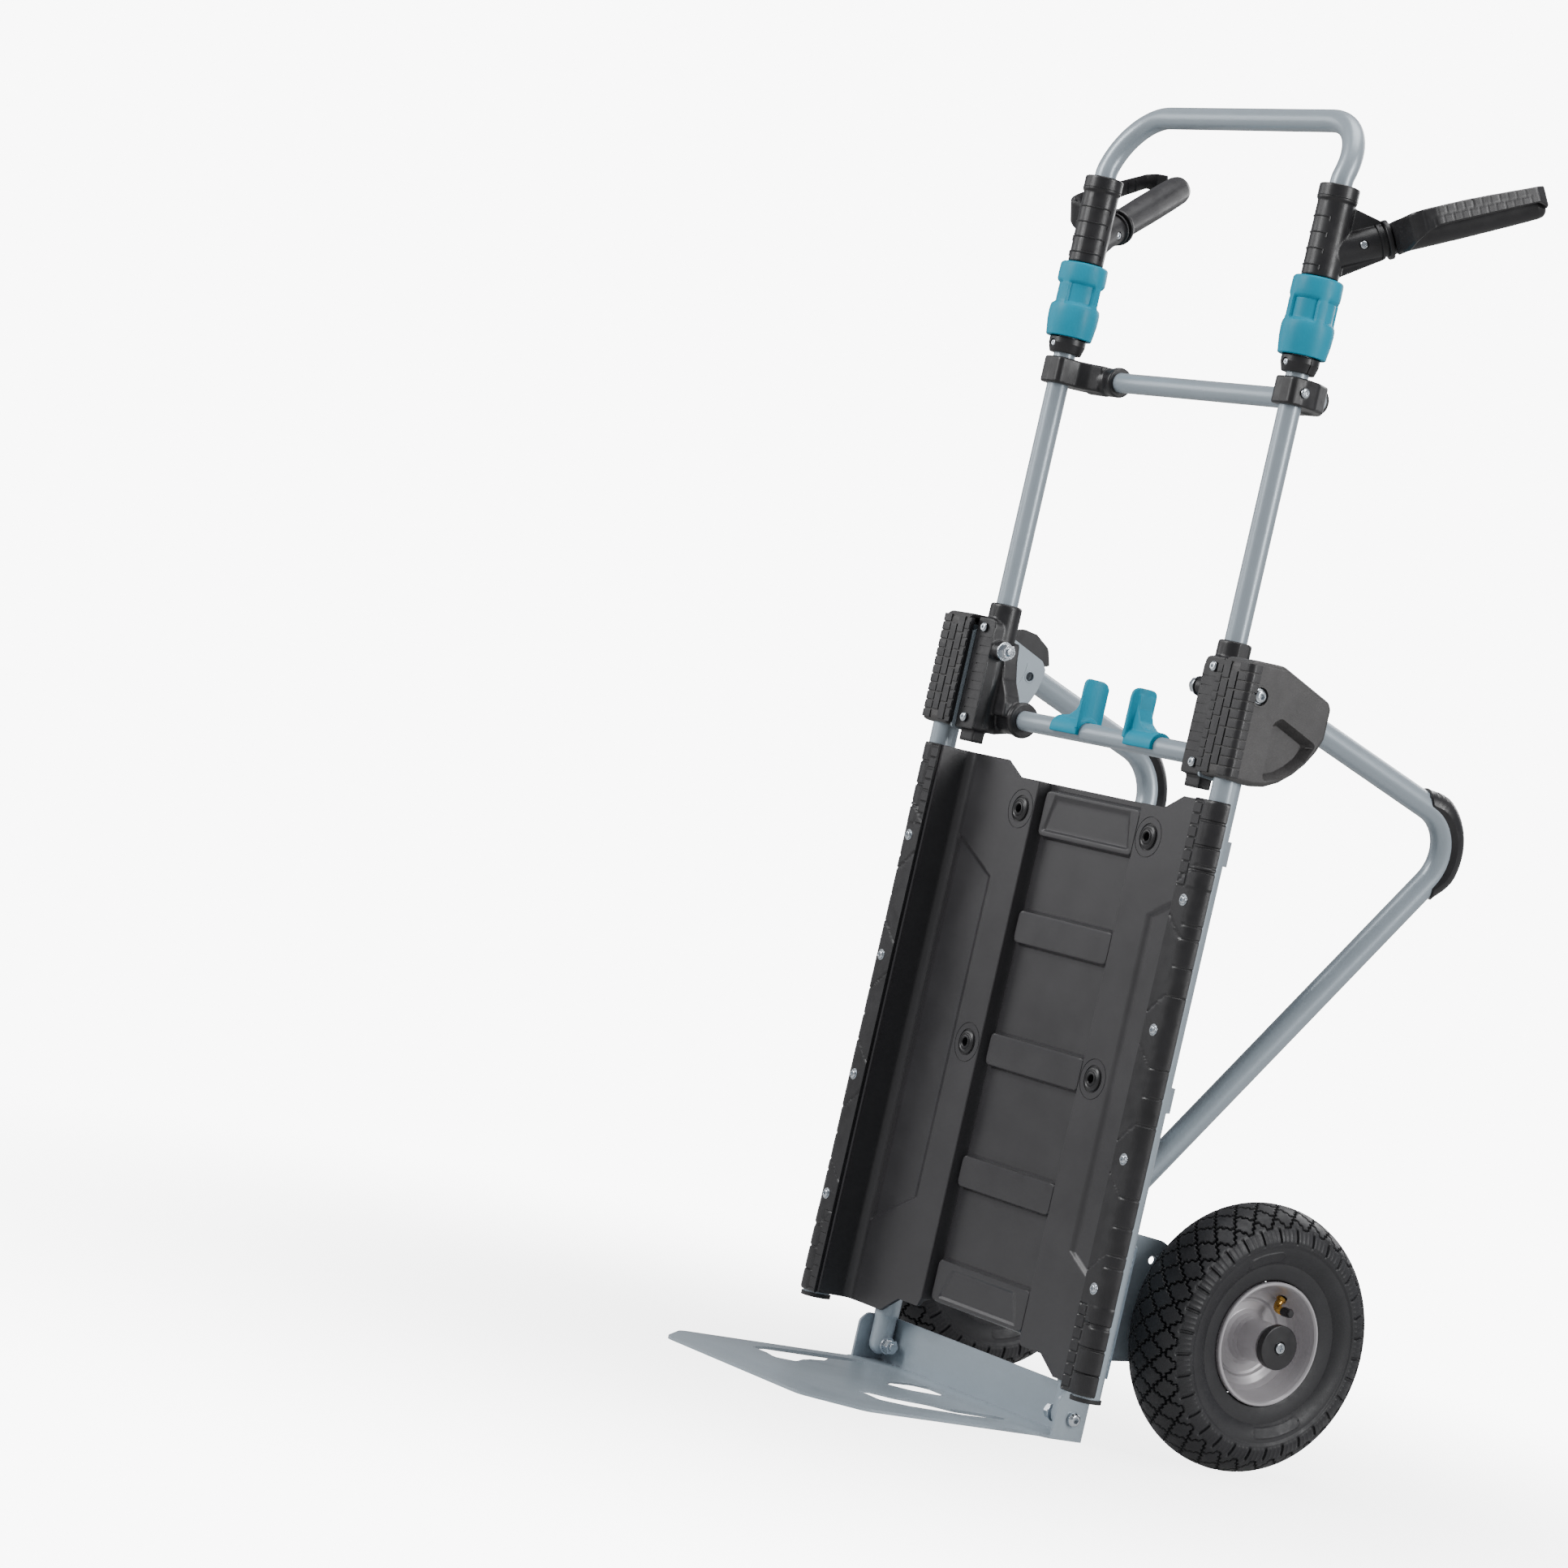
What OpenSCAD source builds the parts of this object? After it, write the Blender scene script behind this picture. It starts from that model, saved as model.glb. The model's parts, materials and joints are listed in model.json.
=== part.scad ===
// Convertible hand truck: pneumatic wheels, folding toe plate, folding handle, swivelling grips.
// Origin: on the floor, mid-width, under the side rails. +X right seen from the load side, +Y to the wheels.

/* [Frame] */
// Height of the handle's hinge axis above the floor
hinge_h = 724; // [600:1:800]
// Half the distance between the side rails' centre lines
rail_x = 230; // [180:1:260]
// Width of the oval side rail across the truck
rail_w = 24; // [18:1:30]
// Depth of the oval side rail front to back
rail_d = 28; // [20:1:34]
// Height of the side rails' lower ends
rail_bottom = 52; // [30:1:80]
// Wall thickness of every tube
tube_wall = 1.6; // [1:0.1:3]

/* [Legs] */
// Outer radius of the support leg tube
leg_r = 12.5; // [9:0.5:16]
// Half spacing of the vertical lower ends of the legs
stub_x = 155.3; // [120:0.1:180]
// Distance of the lower ends behind the rails
stub_y = 38.5; // [20:0.5:60]
// Height of the bend above the lower ends
knee_z = 221.5; // [180:0.5:260]
// Foot corner, across the truck
foot_x = 239; // [200:1:260]
// Foot corner, behind the rails
foot_y = 300.6; // [220:0.1:340]
// Foot corner, height
foot_z = 644.8; // [560:0.1:700]
// Radius of the foot bend
foot_bend = 48; // [30:1:80]

/* [Wheels] */
// Outer radius of the pneumatic tyre
tyre_r = 130; // [100:1:150]
// Width of the tyre
tyre_w = 84; // [60:1:100]
// Half the track between the tyre centres
wheel_x = 215; // [190:1:240]
// Axle distance behind the rails
axle_y = 189; // [150:1:220]
// Axle rod radius
axle_r = 7.5; // [6:0.5:12]

/* [Toe plate] */
// Height of the toe plate's pivot bolts
toe_bolt_z = 21; // [15:1:40]
// Sheet thickness of the toe plate
toe_t = 3; // [2:0.5:5]
// Reach of the blade in front of the rails
toe_reach = 240; // [150:1:300]
// Height of the toe plate's rear web
toe_web = 48; // [30:1:70]

/* [Handle] */
// Outer radius of the handle tube
handle_r = 11; // [9:0.5:14]
// Half spacing of the handle's side tubes
handle_x = 185.5; // [150:0.5:200]
// Offset of the handle tubes behind the hinge axis
handle_y = 9; // [0:0.5:20]
// Height of the bow above the hinge axis
bow_top = 554.6; // [450:0.1:650]
// Rearward offset of the bow's top bar
bow_y = 29; // [9:1:60]
// Radius of the bow's upper bends
bow_bend = 58; // [30:1:80]
// Crossbar tube radius
bar_r = 10; // [8:0.5:14]

/* [Grips] */
// Heading of the grips, from straight sideways towards the rear
grip_az = 60; // [0:1:120]
// Rise of the grips above level
grip_el = 27; // [0:1:45]
// Height of the grip branch above the hinge axis
grip_z = 420; // [380:1:460]
// Distance from the tube to the grip's end
grip_end = 214; // [160:1:260]
// Grip radius
grip_r = 15.2; // [12:0.2:20]

/* [Hidden] */
$fn = 48;
rail_y = 1;
rr = rail_w / 2;
ry = rail_d / 2 - rr;
stub_z = toe_bolt_z;
bolt_r = 4;
lock_y = 31;
lock_z = -63;
cross_z = 288;
cross_y = 47;
toe_y = stub_y + 13;

steel = [0.66, 0.71, 0.75];
black = [0.13, 0.13, 0.14];
teal = [0, 0.62, 0.7];
zinc = [0.8, 0.8, 0.8];

function unit(v) = v / norm(v);
function frame_z(d) = abs(d[2]) > 0.99 ? [1, 0, 0] : unit(cross([0, 0, 1], d));

// Places the children's +Z along d, at p
module along(p, d) {
  x = frame_z(d);
  y = cross(d, x);
  multmatrix([
    [x[0], y[0], d[0], p[0]],
    [x[1], y[1], d[1], p[1]],
    [x[2], y[2], d[2], p[2]],
    [0, 0, 0, 1]]) children();
}

// Straight round bar from p to q, run on by i and j at its ends
module seg(p, q, r, i, j) {
  d = unit(q - p);
  along(p - i * d, d) cylinder(r = r, h = norm(q - p) + i + j);
}

// Round bar bent to radius rb at the corner v, from direction a to direction b
module elbow(v, a, b, rb, r) {
  ang = acos(a * b);
  s = v - rb * tan(ang / 2) * a;
  n = unit(b - (a * b) * a);
  c = s + rb * n;
  z = cross(-n, a);
  multmatrix([
    [-n[0], a[0], z[0], c[0]],
    [-n[1], a[1], z[1], c[1]],
    [-n[2], a[2], z[2], c[2]],
    [0, 0, 0, 1]]) rotate_extrude(angle = ang) translate([rb, 0]) circle(r = r);
}

function bend_len(a, b, rb) = rb * tan(acos(a * b) / 2);

// Keeps a piece on +X or mirrors it to -X
module side(s) {
  if (s < 0) {
    mirror([1, 0, 0]) children();
  } else {
    children();
  }
}

module oval(w, d) {
  translate([0, (d - w) / 2]) circle(r = w / 2);
  translate([0, -(d - w) / 2]) circle(r = w / 2);
  square([w, d - w], center = true);
}

module cyl_x(x0, x1, y, z, r) {
  translate([x0, y, z]) rotate([0, 90, 0]) cylinder(r = r, h = x1 - x0);
}

module cyl_y(y0, y1, x, z, r) {
  translate([x, y0, z]) rotate([-90, 0, 0]) cylinder(r = r, h = y1 - y0);
}

module block(a, b) {
  translate(a) cube(b - a);
}

// Flat outline in the Y-Z plane, thickened from x0 to x1
module plate_yz(x0, x1, pts) {
  translate([x0, 0, 0]) multmatrix([[0, 0, 1, 0], [1, 0, 0, 0], [0, 1, 0, 0], [0, 0, 0, 1]])
    linear_extrude(height = x1 - x0) polygon(pts);
}

// ---------------------------------------------------------------- frame
module rail() {
  color(steel) difference() {
    translate([rail_x, rail_y, rail_bottom]) linear_extrude(height = hinge_h + 22 - rail_bottom)
      oval(rail_w, rail_d);
    translate([rail_x, rail_y, rail_bottom - 1])
      linear_extrude(height = hinge_h + 24 - rail_bottom)
        oval(rail_w - 2 * tube_wall, rail_d - 2 * tube_wall);
    cyl_x(rail_x - 20, rail_x + 20, 0, hinge_h, bolt_r + 0.1);
  }
}
module left_rail() side(-1) rail();
module right_rail() side(1) rail();

cover_lo = 54;
cover_hi = 620.5;
module rail_cover() {
  color(black) translate([0, 0, cover_lo]) linear_extrude(height = cover_hi - cover_lo) {
    difference() {
      union() {
        translate([rail_x, rail_y]) oval(rail_w + 6, rail_d + 6);
        translate([210.5, -16]) square([12, 3]);
      }
      translate([rail_x, rail_y]) oval(rail_w + 0.2, rail_d + 0.2);
      translate([150, -1.3]) square([150, 50]);
      translate([150, -12.9]) square([67, 50]);
    }
  }
}
module left_rail_cover() side(-1) rail_cover();
module right_rail_cover() side(1) rail_cover();

module rail_end_caps() {
  for (s = [-1, 1]) {
    color(black) side(s) translate([rail_x, rail_y, 0]) {
      translate([0, 0, rail_bottom - 4]) linear_extrude(height = 3.9)
        oval(rail_w + 3, rail_d + 3);
      translate([0, 0, rail_bottom - 0.5]) linear_extrude(height = 14)
        oval(rail_w - 2 * tube_wall - 0.2, rail_d - 2 * tube_wall - 0.2);
    }
  }
}

screw_z = [153, 276.5, 400, 524];
module cover_screws() {
  for (s = [-1, 1]) {
    for (z = screw_z) {
      color(zinc) side(s) difference() {
        cyl_y(-17.3, -16.05, 227, z, 4.2);
        cyl_y(-18, -16.7, 227, z, 1.6);
      }
    }
  }
}

deck_top = 620;
deck_lo = 55;
wing_y = 22.5;
floor_y = 36;
pad_y = 30;
pad_zc = [575.5, 461, 337, 213.5, 103];
pad_h = [50, 37, 37, 36, 46];
module deck_section() {
  polygon([
    [-211, -12.7], [-211, wing_y + 3], [-86, wing_y + 3], [-82, floor_y + 3], [82, floor_y + 3],
    [86, wing_y + 3], [211, wing_y + 3], [211, -12.7], [208, -12.7], [205, wing_y], [84, wing_y],
    [80, floor_y], [-80, floor_y], [-84, wing_y], [-205, wing_y], [-208, -12.7]]);
}
module deck_panel() {
  color(black) difference() {
    union() {
      translate([0, 0, deck_lo]) linear_extrude(height = deck_top - deck_lo) deck_section();
      for (i = [0:4]) {
        block([-80.5, pad_y, pad_zc[i] - pad_h[i] / 2], [80.5, floor_y + 1, pad_zc[i] + pad_h[i] / 2]);
      }
    }
    for (i = [0:4]) {
      block([-76, pad_y + 3, pad_zc[i] - pad_h[i] / 2 + 3],
        [76, floor_y + 5, pad_zc[i] + pad_h[i] / 2 - 3]);
    }
    translate([0, 60, 0]) rotate([90, 0, 0]) linear_extrude(height = 60)
      polygon([[-147, deck_top + 1], [-119, deck_top - 14.5], [119, deck_top - 14.5],
        [147, deck_top + 1]]);
    translate([0, 60, 0]) rotate([90, 0, 0]) linear_extrude(height = 60)
      polygon([[-150, deck_lo - 1], [-121, deck_lo + 17], [-88, deck_lo + 17], [-84, deck_lo + 26],
        [84, deck_lo + 26], [88, deck_lo + 17], [121, deck_lo + 17], [150, deck_lo - 1]]);
    for (s = [-1, 1]) {
      for (z = [337, 574.5]) {
        cyl_y(0, 50, 105 * s, z, 6);
      }
    }
  }
}

module deck_grommets() {
  for (s = [-1, 1]) {
    for (z = [337, 574.5]) {
      color(black) difference() {
        union() {
          cyl_y(wing_y - 1.6, wing_y - 0.02, 105 * s, z, 10);
          cyl_y(wing_y - 1, 39.9, 105 * s, z, 5.95);
        }
        cyl_y(wing_y - 2, 50, 105 * s, z, 4.2);
      }
    }
  }
}

module cross_straps() {
  for (z = [337, 574.5]) {
    color(steel) difference() {
      translate([0, 0, z - 12]) linear_extrude(height = 24) polygon([
        [-242, 15.2], [-242, 18.2], [-217, 18.2], [-217, 29], [-206, 43], [206, 43], [217, 29],
        [217, 18.2], [242, 18.2], [242, 15.2], [214, 15.2], [214, 28], [204.5, 40], [-204.5, 40],
        [-214, 28], [-214, 15.2]]);
      for (s = [-1, 1]) {
        cyl_y(30, 50, 105 * s, z, 4.2);
      }
    }
  }
}

leg_a = [stub_x, stub_y, knee_z];
leg_b = [foot_x, foot_y, foot_z];
leg_c = [228.4, 60, 717.5];
leg_s = [stub_x, stub_y, stub_z - 12.5];
d_up = [0, 0, 1];
d_ab = unit(leg_b - leg_a);
d_bc = unit(leg_c - leg_b);
// Path of the leg at radius r; its open ends run on by k
module leg_path(r, k) {
  ka = bend_len(d_up, d_ab, 60);
  kb = bend_len(d_ab, d_bc, foot_bend);
  seg(leg_s, leg_a - ka * d_up, r - 0.1, k, 2);
  elbow(leg_a, d_up, d_ab, 60, r);
  seg(leg_a + ka * d_ab, leg_b - kb * d_ab, r - 0.1, 2, 2);
  elbow(leg_b, d_ab, d_bc, foot_bend, r);
  seg(leg_b + kb * d_bc, leg_c, r - 0.1, 2, k);
}
module leg() {
  color(steel) difference() {
    leg_path(leg_r, 0);
    leg_path(leg_r - tube_wall, 2);
    difference() {
      block([stub_x - 30, stub_y - 30, stub_z - 30], [stub_x + 30, stub_y + 30, stub_z]);
      cyl_x(stub_x - 31, stub_x + 31, stub_y, stub_z, 12.5);
    }
    cyl_x(stub_x - 20, stub_x + 20, stub_y, stub_z, bolt_r + 0.1);
  }
}
module left_leg() side(-1) leg();
module right_leg() side(1) leg();

// Outer half shell round the foot bend
module foot_cover() {
  ang = acos(d_ab * d_bc);
  kb = bend_len(d_ab, d_bc, foot_bend);
  s = leg_b - kb * d_ab;
  n = unit(d_bc - (d_ab * d_bc) * d_ab);
  c = s + foot_bend * n;
  z = cross(-n, d_ab);
  color(black) multmatrix([
    [-n[0], d_ab[0], z[0], c[0]],
    [-n[1], d_ab[1], z[1], c[1]],
    [-n[2], d_ab[2], z[2], c[2]],
    [0, 0, 0, 1]]) rotate_extrude(angle = ang) translate([foot_bend, 0]) difference() {
      translate([3.5, 0]) circle(r = leg_r + 4.3);
      circle(r = leg_r + 0.05);
      translate([-30, -30]) square([31.5, 60]);
    }
}
module foot_covers() {
  side(-1) foot_cover();
  side(1) foot_cover();
}

// Folded sheet bracket from the rail to the axle
module axle_bracket() {
  color(steel) difference() {
    union() {
      intersection() {
        translate([0, 0, 60]) linear_extrude(height = 160)
          polygon([[232, 15.3], [235, 17], [168, 57], [165, 55.3]]);
        plate_yz(100, 260, [[5, 198], [57.2, 206], [57.2, 79], [5, 68]]);
      }
      plate_yz(165, 168, [[55.3, 206], [100, 202], [200, 158], [206, 148], [206, 112],
        [200, 104], [100, 84], [55.3, 79]]);
    }
    cyl_x(150, 180, axle_y, tyre_r, axle_r + 0.02);
    cyl_x(150, 180, 92, 182, 4);
  }
}
module left_axle_bracket() side(-1) axle_bracket();
module right_axle_bracket() side(1) axle_bracket();

module axle_rod() {
  color(steel) difference() {
    cyl_x(-256, 256, axle_y, tyre_r, axle_r);
    for (s = [-1, 1]) {
      side(s) cyl_x(236, 257, axle_y, tyre_r, 2.6);
    }
  }
}

module hub_caps() {
  for (s = [-1, 1]) {
    color(black) side(s) translate([256.2, axle_y, tyre_r]) rotate([0, 90, 0]) rotate_extrude()
      polygon([[2.7, 0], [21.5, 0], [21.5, 4], [19, 7.8], [7, 8.2], [6, 6.5], [2.7, 6.5]]);
  }
}
module hub_cap_screws() {
  for (s = [-1, 1]) {
    color(zinc) side(s) {
      difference() {
        cyl_x(262.75, 265.9, axle_y, tyre_r, 4.6);
        cyl_x(264.4, 267, axle_y, tyre_r, 1.4);
      }
      cyl_x(240, 262.8, axle_y, tyre_r, 2.5);
    }
  }
}

// Quarter disc that joins the rail and the leg and holds the lock holes
module hinge_plate() {
  color(steel) difference() {
    intersection() {
      cyl_x(201.5, 204.5, 0, hinge_h, 86);
      plate_yz(200, 206, [[-13, hinge_h - 90], [-13, hinge_h + 14], [4, hinge_h + 24],
        [24, hinge_h + 22], [80, hinge_h + 2], [84, hinge_h - 6], [84, hinge_h - 60],
        [70, hinge_h - 90]]);
    }
    cyl_x(200, 206, 0, hinge_h, bolt_r + 0.1);
    cyl_x(200, 206, lock_y, hinge_h + lock_z, 4.6);
    cyl_x(200, 206, 68.2, hinge_h - 16.5, 4.6);
  }
}
module left_hinge_plate() side(-1) hinge_plate();
module right_hinge_plate() side(1) hinge_plate();

housing_out = [[-18, -82], [-18, 26], [-12, 32], [23, 33], [84, 11], [88, 5], [88, -24],
  [82, -38], [72, -52], [60, -64], [46, -74], [30, -81], [14, -83.5]];
housing_in = [[-14.2, -78.5], [-14.2, 25], [-10.5, 28.5], [22.5, 29.5], [81.5, 8], [84.5, 3.5],
  [84.5, -23], [78.8, -36.3], [69.4, -49.4], [58, -61], [44.5, -70.7], [29.4, -77.6],
  [14, -80]];
pocket = [[24, -22], [30, -18], [74, -34], [66, -48], [55, -59], [42, -67.5], [24, -73]];
pocket_wall = [[21, -23], [29, -14.5], [78, -32], [69, -49], [57, -62], [43, -71], [21, -77]];
function lift(p) = [for (q = p) [q[0], q[1] + hinge_h]];
module hinge_housing() {
  color(black) difference() {
    plate_yz(209, 251, lift(housing_out));
    difference() {
      plate_yz(208, 247.6, lift(housing_in));
      plate_yz(241.3, 248, lift(pocket_wall));
    }
    plate_yz(244.2, 252, lift(pocket));
    translate([rail_x, rail_y, hinge_h - 100]) linear_extrude(height = 60)
      oval(rail_w + 0.2, rail_d + 0.2);
    along(leg_c, -d_bc) cylinder(r = leg_r + 0.1, h = 80);
    cyl_x(246.6, 252, 0, hinge_h, 9.6);
    cyl_x(208, 252, 0, hinge_h, bolt_r + 0.1);
  }
}
module left_hinge_housing() side(-1) hinge_housing();
module right_hinge_housing() side(1) hinge_housing();

module plate_caps() {
  for (s = [-1, 1]) {
    color(black) side(s) plate_yz(204.7, 208.7, lift([[26, 22], [52, 29], [68, 27], [86, 16],
      [92, -1], [86, -3], [79, 3]]));
  }
}

module hinge_bolts() {
  for (s = [-1, 1]) {
    color(zinc) side(s) difference() {
      union() {
        cyl_x(147.5, 250, 0, hinge_h, bolt_r);
        cyl_x(247.7, 249.4, 0, hinge_h, 9);
        cyl_x(249.3, 254.3, 0, hinge_h, 7);
      }
      translate([252, 0, hinge_h]) rotate([0, 90, 0]) cylinder(r = 3.4, h = 5, $fn = 6);
    }
  }
}
module hinge_nuts() {
  for (s = [-1, 1]) {
    color(zinc) side(s) difference() {
      union() {
        cyl_x(158.3, 159.7, 0, hinge_h, 9.5);
        translate([150.4, 0, hinge_h]) rotate([0, 90, 0]) cylinder(r = 7.8, h = 8, $fn = 6);
      }
      cyl_x(140, 170, 0, hinge_h, bolt_r + 0.02);
    }
  }
}

// ---------------------------------------------------------------- toe plate
module toe_bolts() {
  for (s = [-1, 1]) {
    color(zinc) side(s) difference() {
      union() {
        cyl_x(131.5, 173, stub_y, stub_z, bolt_r);
        cyl_x(171.6, 177.1, stub_y, stub_z, 7);
      }
      translate([174.5, stub_y, stub_z]) rotate([0, 90, 0]) cylinder(r = 3.4, h = 5, $fn = 6);
    }
  }
}
module toe_nuts() {
  for (s = [-1, 1]) {
    color(zinc) side(s) difference() {
      union() {
        translate([133.3, stub_y, stub_z]) rotate([0, 90, 0]) cylinder(r = 7.6, h = 8, $fn = 6);
        cyl_x(141.2, 142.7, stub_y, stub_z, 8.6);
      }
      cyl_x(120, 150, stub_y, stub_z, bolt_r + 0.02);
    }
  }
}

module toe_plate() {
  fx = stub_x + leg_r + 0.5;
  color(steel) difference() {
    union() {
      linear_extrude(height = toe_t) polygon([[-fx - 3, toe_y + 3], [-fx - 3, 18],
        [-165.5, 10], [-165.5, -194], [-117, -toe_reach], [117, -toe_reach], [165.5, -194],
        [165.5, 10], [fx + 3, 18], [fx + 3, toe_y + 3]]);
      block([-fx - 3, toe_y, 0], [fx + 3, toe_y + 3, toe_web]);
      for (s = [-1, 1]) {
        side(s) plate_yz(fx, fx + 3, [[20, 0], [toe_y + 3, 0], [toe_y + 3, toe_web],
          [27, toe_web], [22.5, toe_web - 2], [20, toe_web - 7]]);
      }
    }
    for (s = [-1, 1]) {
      side(s) cyl_x(fx - 2, fx + 5, stub_y, stub_z, bolt_r + 0.06);
      side(s) translate([0, 0, -1]) linear_extrude(height = 6)
        polygon([[72, -140], [65, -122], [80, -105], [90, -71], [108, -54], [112, -9], [120, 1],
          [129, -10], [131, -60], [125, -118], [112, -143]]);
    }
    translate([0, 0, -1]) linear_extrude(height = 6)
      polygon([[-23, -10], [-14, 3], [14, 3], [23, -10], [18, -40], [2, -56], [-2, -56], [-18, -40]]);
  }
}

// ---------------------------------------------------------------- wheels
// Direction of the valve from the axle, and its place across the wheel
vd = [cos(150), sin(150), 0];
valve_h = 8;
module wheel_place() {
  translate([wheel_x, axle_y, tyre_r]) rotate([0, 90, 0]) children();
}
module tyre() {
  h = tyre_w / 2;
  color([0.1, 0.1, 0.1]) wheel_place() rotate_extrude() polygon([
    [60, -h + 17], [62, -h + 12], [74, -h + 4], [92, -h], [106, -h + 3], [118, -h + 10],
    [126, -h + 21], [tyre_r, -h + 35], [tyre_r, h - 35], [126, h - 21], [118, h - 10],
    [106, h - 3], [92, h], [74, h - 4], [62, h - 12], [60, h - 17], [64, h - 22], [84, h - 9],
    [102, h - 13], [114, h - 27], [116, 0], [114, -h + 27], [102, -h + 13], [84, -h + 9],
    [64, -h + 22]]);
}
module left_tyre() side(-1) tyre();
module right_tyre() side(1) tyre();

module rim() {
  color([0.72, 0.7, 0.7]) wheel_place() difference() {
    rotate_extrude() polygon([
      [17.1, -37], [20, -37], [20, -12], [46, -12], [53, -18], [55, -27], [59, -32], [59.6, -30],
      [59.4, -20], [56, -16], [50, -9], [50, 9], [56, 16], [59.4, 20], [59.6, 30], [59, 32],
      [55, 27], [53, 18], [46, 2], [38, -3], [26, -2], [21.5, 4], [20, 12], [20, 37],
      [17.1, 37], [17.1, 26], [15, 26], [15, -26], [17.1, -26]]);
    along([0, 0, valve_h], vd) translate([0, 0, 42]) cylinder(r = 4.1, h = 12);
  }
}
module left_rim() side(-1) rim();
module right_rim() side(1) rim();

module bearings() {
  for (z = [-37, 26.2]) {
    color(black) wheel_place() translate([0, 0, z]) difference() {
      cylinder(r = 17.0, h = 10.8);
      translate([0, 0, -1]) cylinder(r = axle_r + 0.05, h = 14);
    }
  }
}
module left_bearings() side(-1) bearings();
module right_bearings() side(1) bearings();

// Bent stem that rises from the rim's well and turns outwards
module valve() {
  color([0.75, 0.6, 0.3]) wheel_place() {
    along(vd * 49.5 + [0, 0, valve_h], -vd) cylinder(r = 4, h = 16);
    translate(vd * 37 + [0, 0, valve_h]) cylinder(r = 3.6, h = 13);
  }
}
module left_valve() side(-1) valve();
module right_valve() side(1) valve();
module valve_cap() {
  color(black) wheel_place() translate(vd * 37 + [0, 0, valve_h + 13.1]) cylinder(r = 4.2, h = 12);
}
module left_valve_cap() side(-1) valve_cap();
module right_valve_cap() side(1) valve_cap();

// ---------------------------------------------------------------- handle
hz = hinge_h;
hb = [handle_x, handle_y, hz - 80];
h1 = [handle_x, handle_y, hz + 494];
h2 = [handle_x, bow_y, hz + bow_top];
h3 = [-handle_x, bow_y, hz + bow_top];
d12 = unit(h2 - h1);
d23 = [-1, 0, 0];
// Half of the U-shaped handle at radius r; its open end runs on by k
module handle_half(r, k) {
  k1 = bend_len(d_up, d12, 30);
  k2 = bend_len(d12, d23, bow_bend);
  seg(hb, h1 - k1 * d_up, r - 0.1, k, 0.9);
  elbow(h1, d_up, d12, 30, r);
  seg(h1 + k1 * d12, h2 - k2 * d12, r - 0.1, 0.9, 0.9);
  elbow(h2, d12, d23, bow_bend, r);
}
module handle_path(r, k) {
  k2 = bend_len(d12, d23, bow_bend);
  handle_half(r, k);
  mirror([1, 0, 0]) handle_half(r, k);
  seg(h3 + k2 * [1, 0, 0], h2 - k2 * [1, 0, 0], r - 0.1, 0.9, 0.9);
}
module handle_tube() {
  color(steel) difference() {
    handle_path(handle_r, 0);
    handle_path(handle_r - tube_wall, 2);
    for (s = [-1, 1]) {
      side(s) cyl_x(handle_x - 20, handle_x + 20, 0, hz, bolt_r + 0.1);
      side(s) cyl_x(handle_x, handle_x + 20, handle_y, hz + cross_z, 3.1);
    }
  }
}

// Pivoting bracket: sleeve round the handle tube with a socket for the lower crossbar
module bracket() {
  color(black) difference() {
    union() {
      translate([handle_x, handle_y, hz - 83]) cylinder(r = 15.5, h = 127);
      block([171, -10, hz - 83], [201, 9, hz + 30]);
      block([174, -4, hz - 95], [196, 10, hz - 82]);
      plate_yz(172, 201, [[9, hz - 83], [9, hz - 5], [26, hz - 22], [33, hz - 44], [45, hz - 56],
        [46, hz - 70], [36, hz - 78], [20, hz - 83]]);
      cyl_x(143, 201, lock_y, hz + lock_z, 16);
      cyl_x(143, 149, lock_y, hz + lock_z, 18);
      cyl_x(160, 175, 0, hz, 9.2);
    }
    translate([handle_x, handle_y, hz - 80.1]) cylinder(r = handle_r + 0.05, h = 130);
    cyl_x(142, 190, lock_y, hz + lock_z, bar_r + 0.05);
    cyl_x(180, 202, lock_y, hz + lock_z, bolt_r + 0.06);
    cyl_x(150, 210, 0, hz, bolt_r + 0.05);
    block([201, -60, hz - 100], [210, 60, hz + 60]);
  }
}
module left_bracket() side(-1) bracket();
module right_bracket() side(1) bracket();

module bracket_screws() {
  for (s = [-1, 1]) {
    for (z = [20, -72]) {
      color(zinc) side(s) difference() {
        cyl_y(-11.4, -10.05, 187, hz + z, 4.4);
        cyl_y(-12, -10.8, 187, hz + z, 1.6);
      }
    }
  }
}

module lower_crossbar() {
  color(steel) difference() {
    cyl_x(-189.5, 189.5, lock_y, hz + lock_z, bar_r);
    cyl_x(-190, 190, lock_y, hz + lock_z, bar_r - 1.5);
    for (s = [-1, 1]) {
      side(s) block([34, lock_y - 3.3, hz + lock_z], [60, lock_y + 3.3, hz + lock_z + 12]);
    }
  }
}

module upper_crossbar() {
  color(steel) difference() {
    cyl_x(-178, 178, cross_y, hz + cross_z, bar_r);
    cyl_x(-179, 179, cross_y, hz + cross_z, bar_r - 1.5);
  }
}
module crossbar_clamps() {
  for (s = [-1, 1]) {
    color(black) side(s) difference() {
      union() {
        cyl_x(134, 179, cross_y, hz + cross_z, 13.5);
        cyl_x(134, 141, cross_y, hz + cross_z, 15);
        translate([0, 0, hz + cross_z - 13.4]) linear_extrude(height = 26.8)
          polygon([[169, 8], [171, -5.5], [200, -5.5], [203, 8], [203, 30], [196, 48], [182, 60.4],
            [150.5, 60.4], [150.5, 33], [162, 26], [168, 18]]);
      }
      translate([handle_x, handle_y, hz + 250]) cylinder(r = handle_r + 0.02, h = 80);
      cyl_x(133, 178.2, cross_y, hz + cross_z, bar_r + 0.02);
      cyl_x(handle_x, 204, handle_y, hz + cross_z, 3.05);
    }
  }
}
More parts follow.
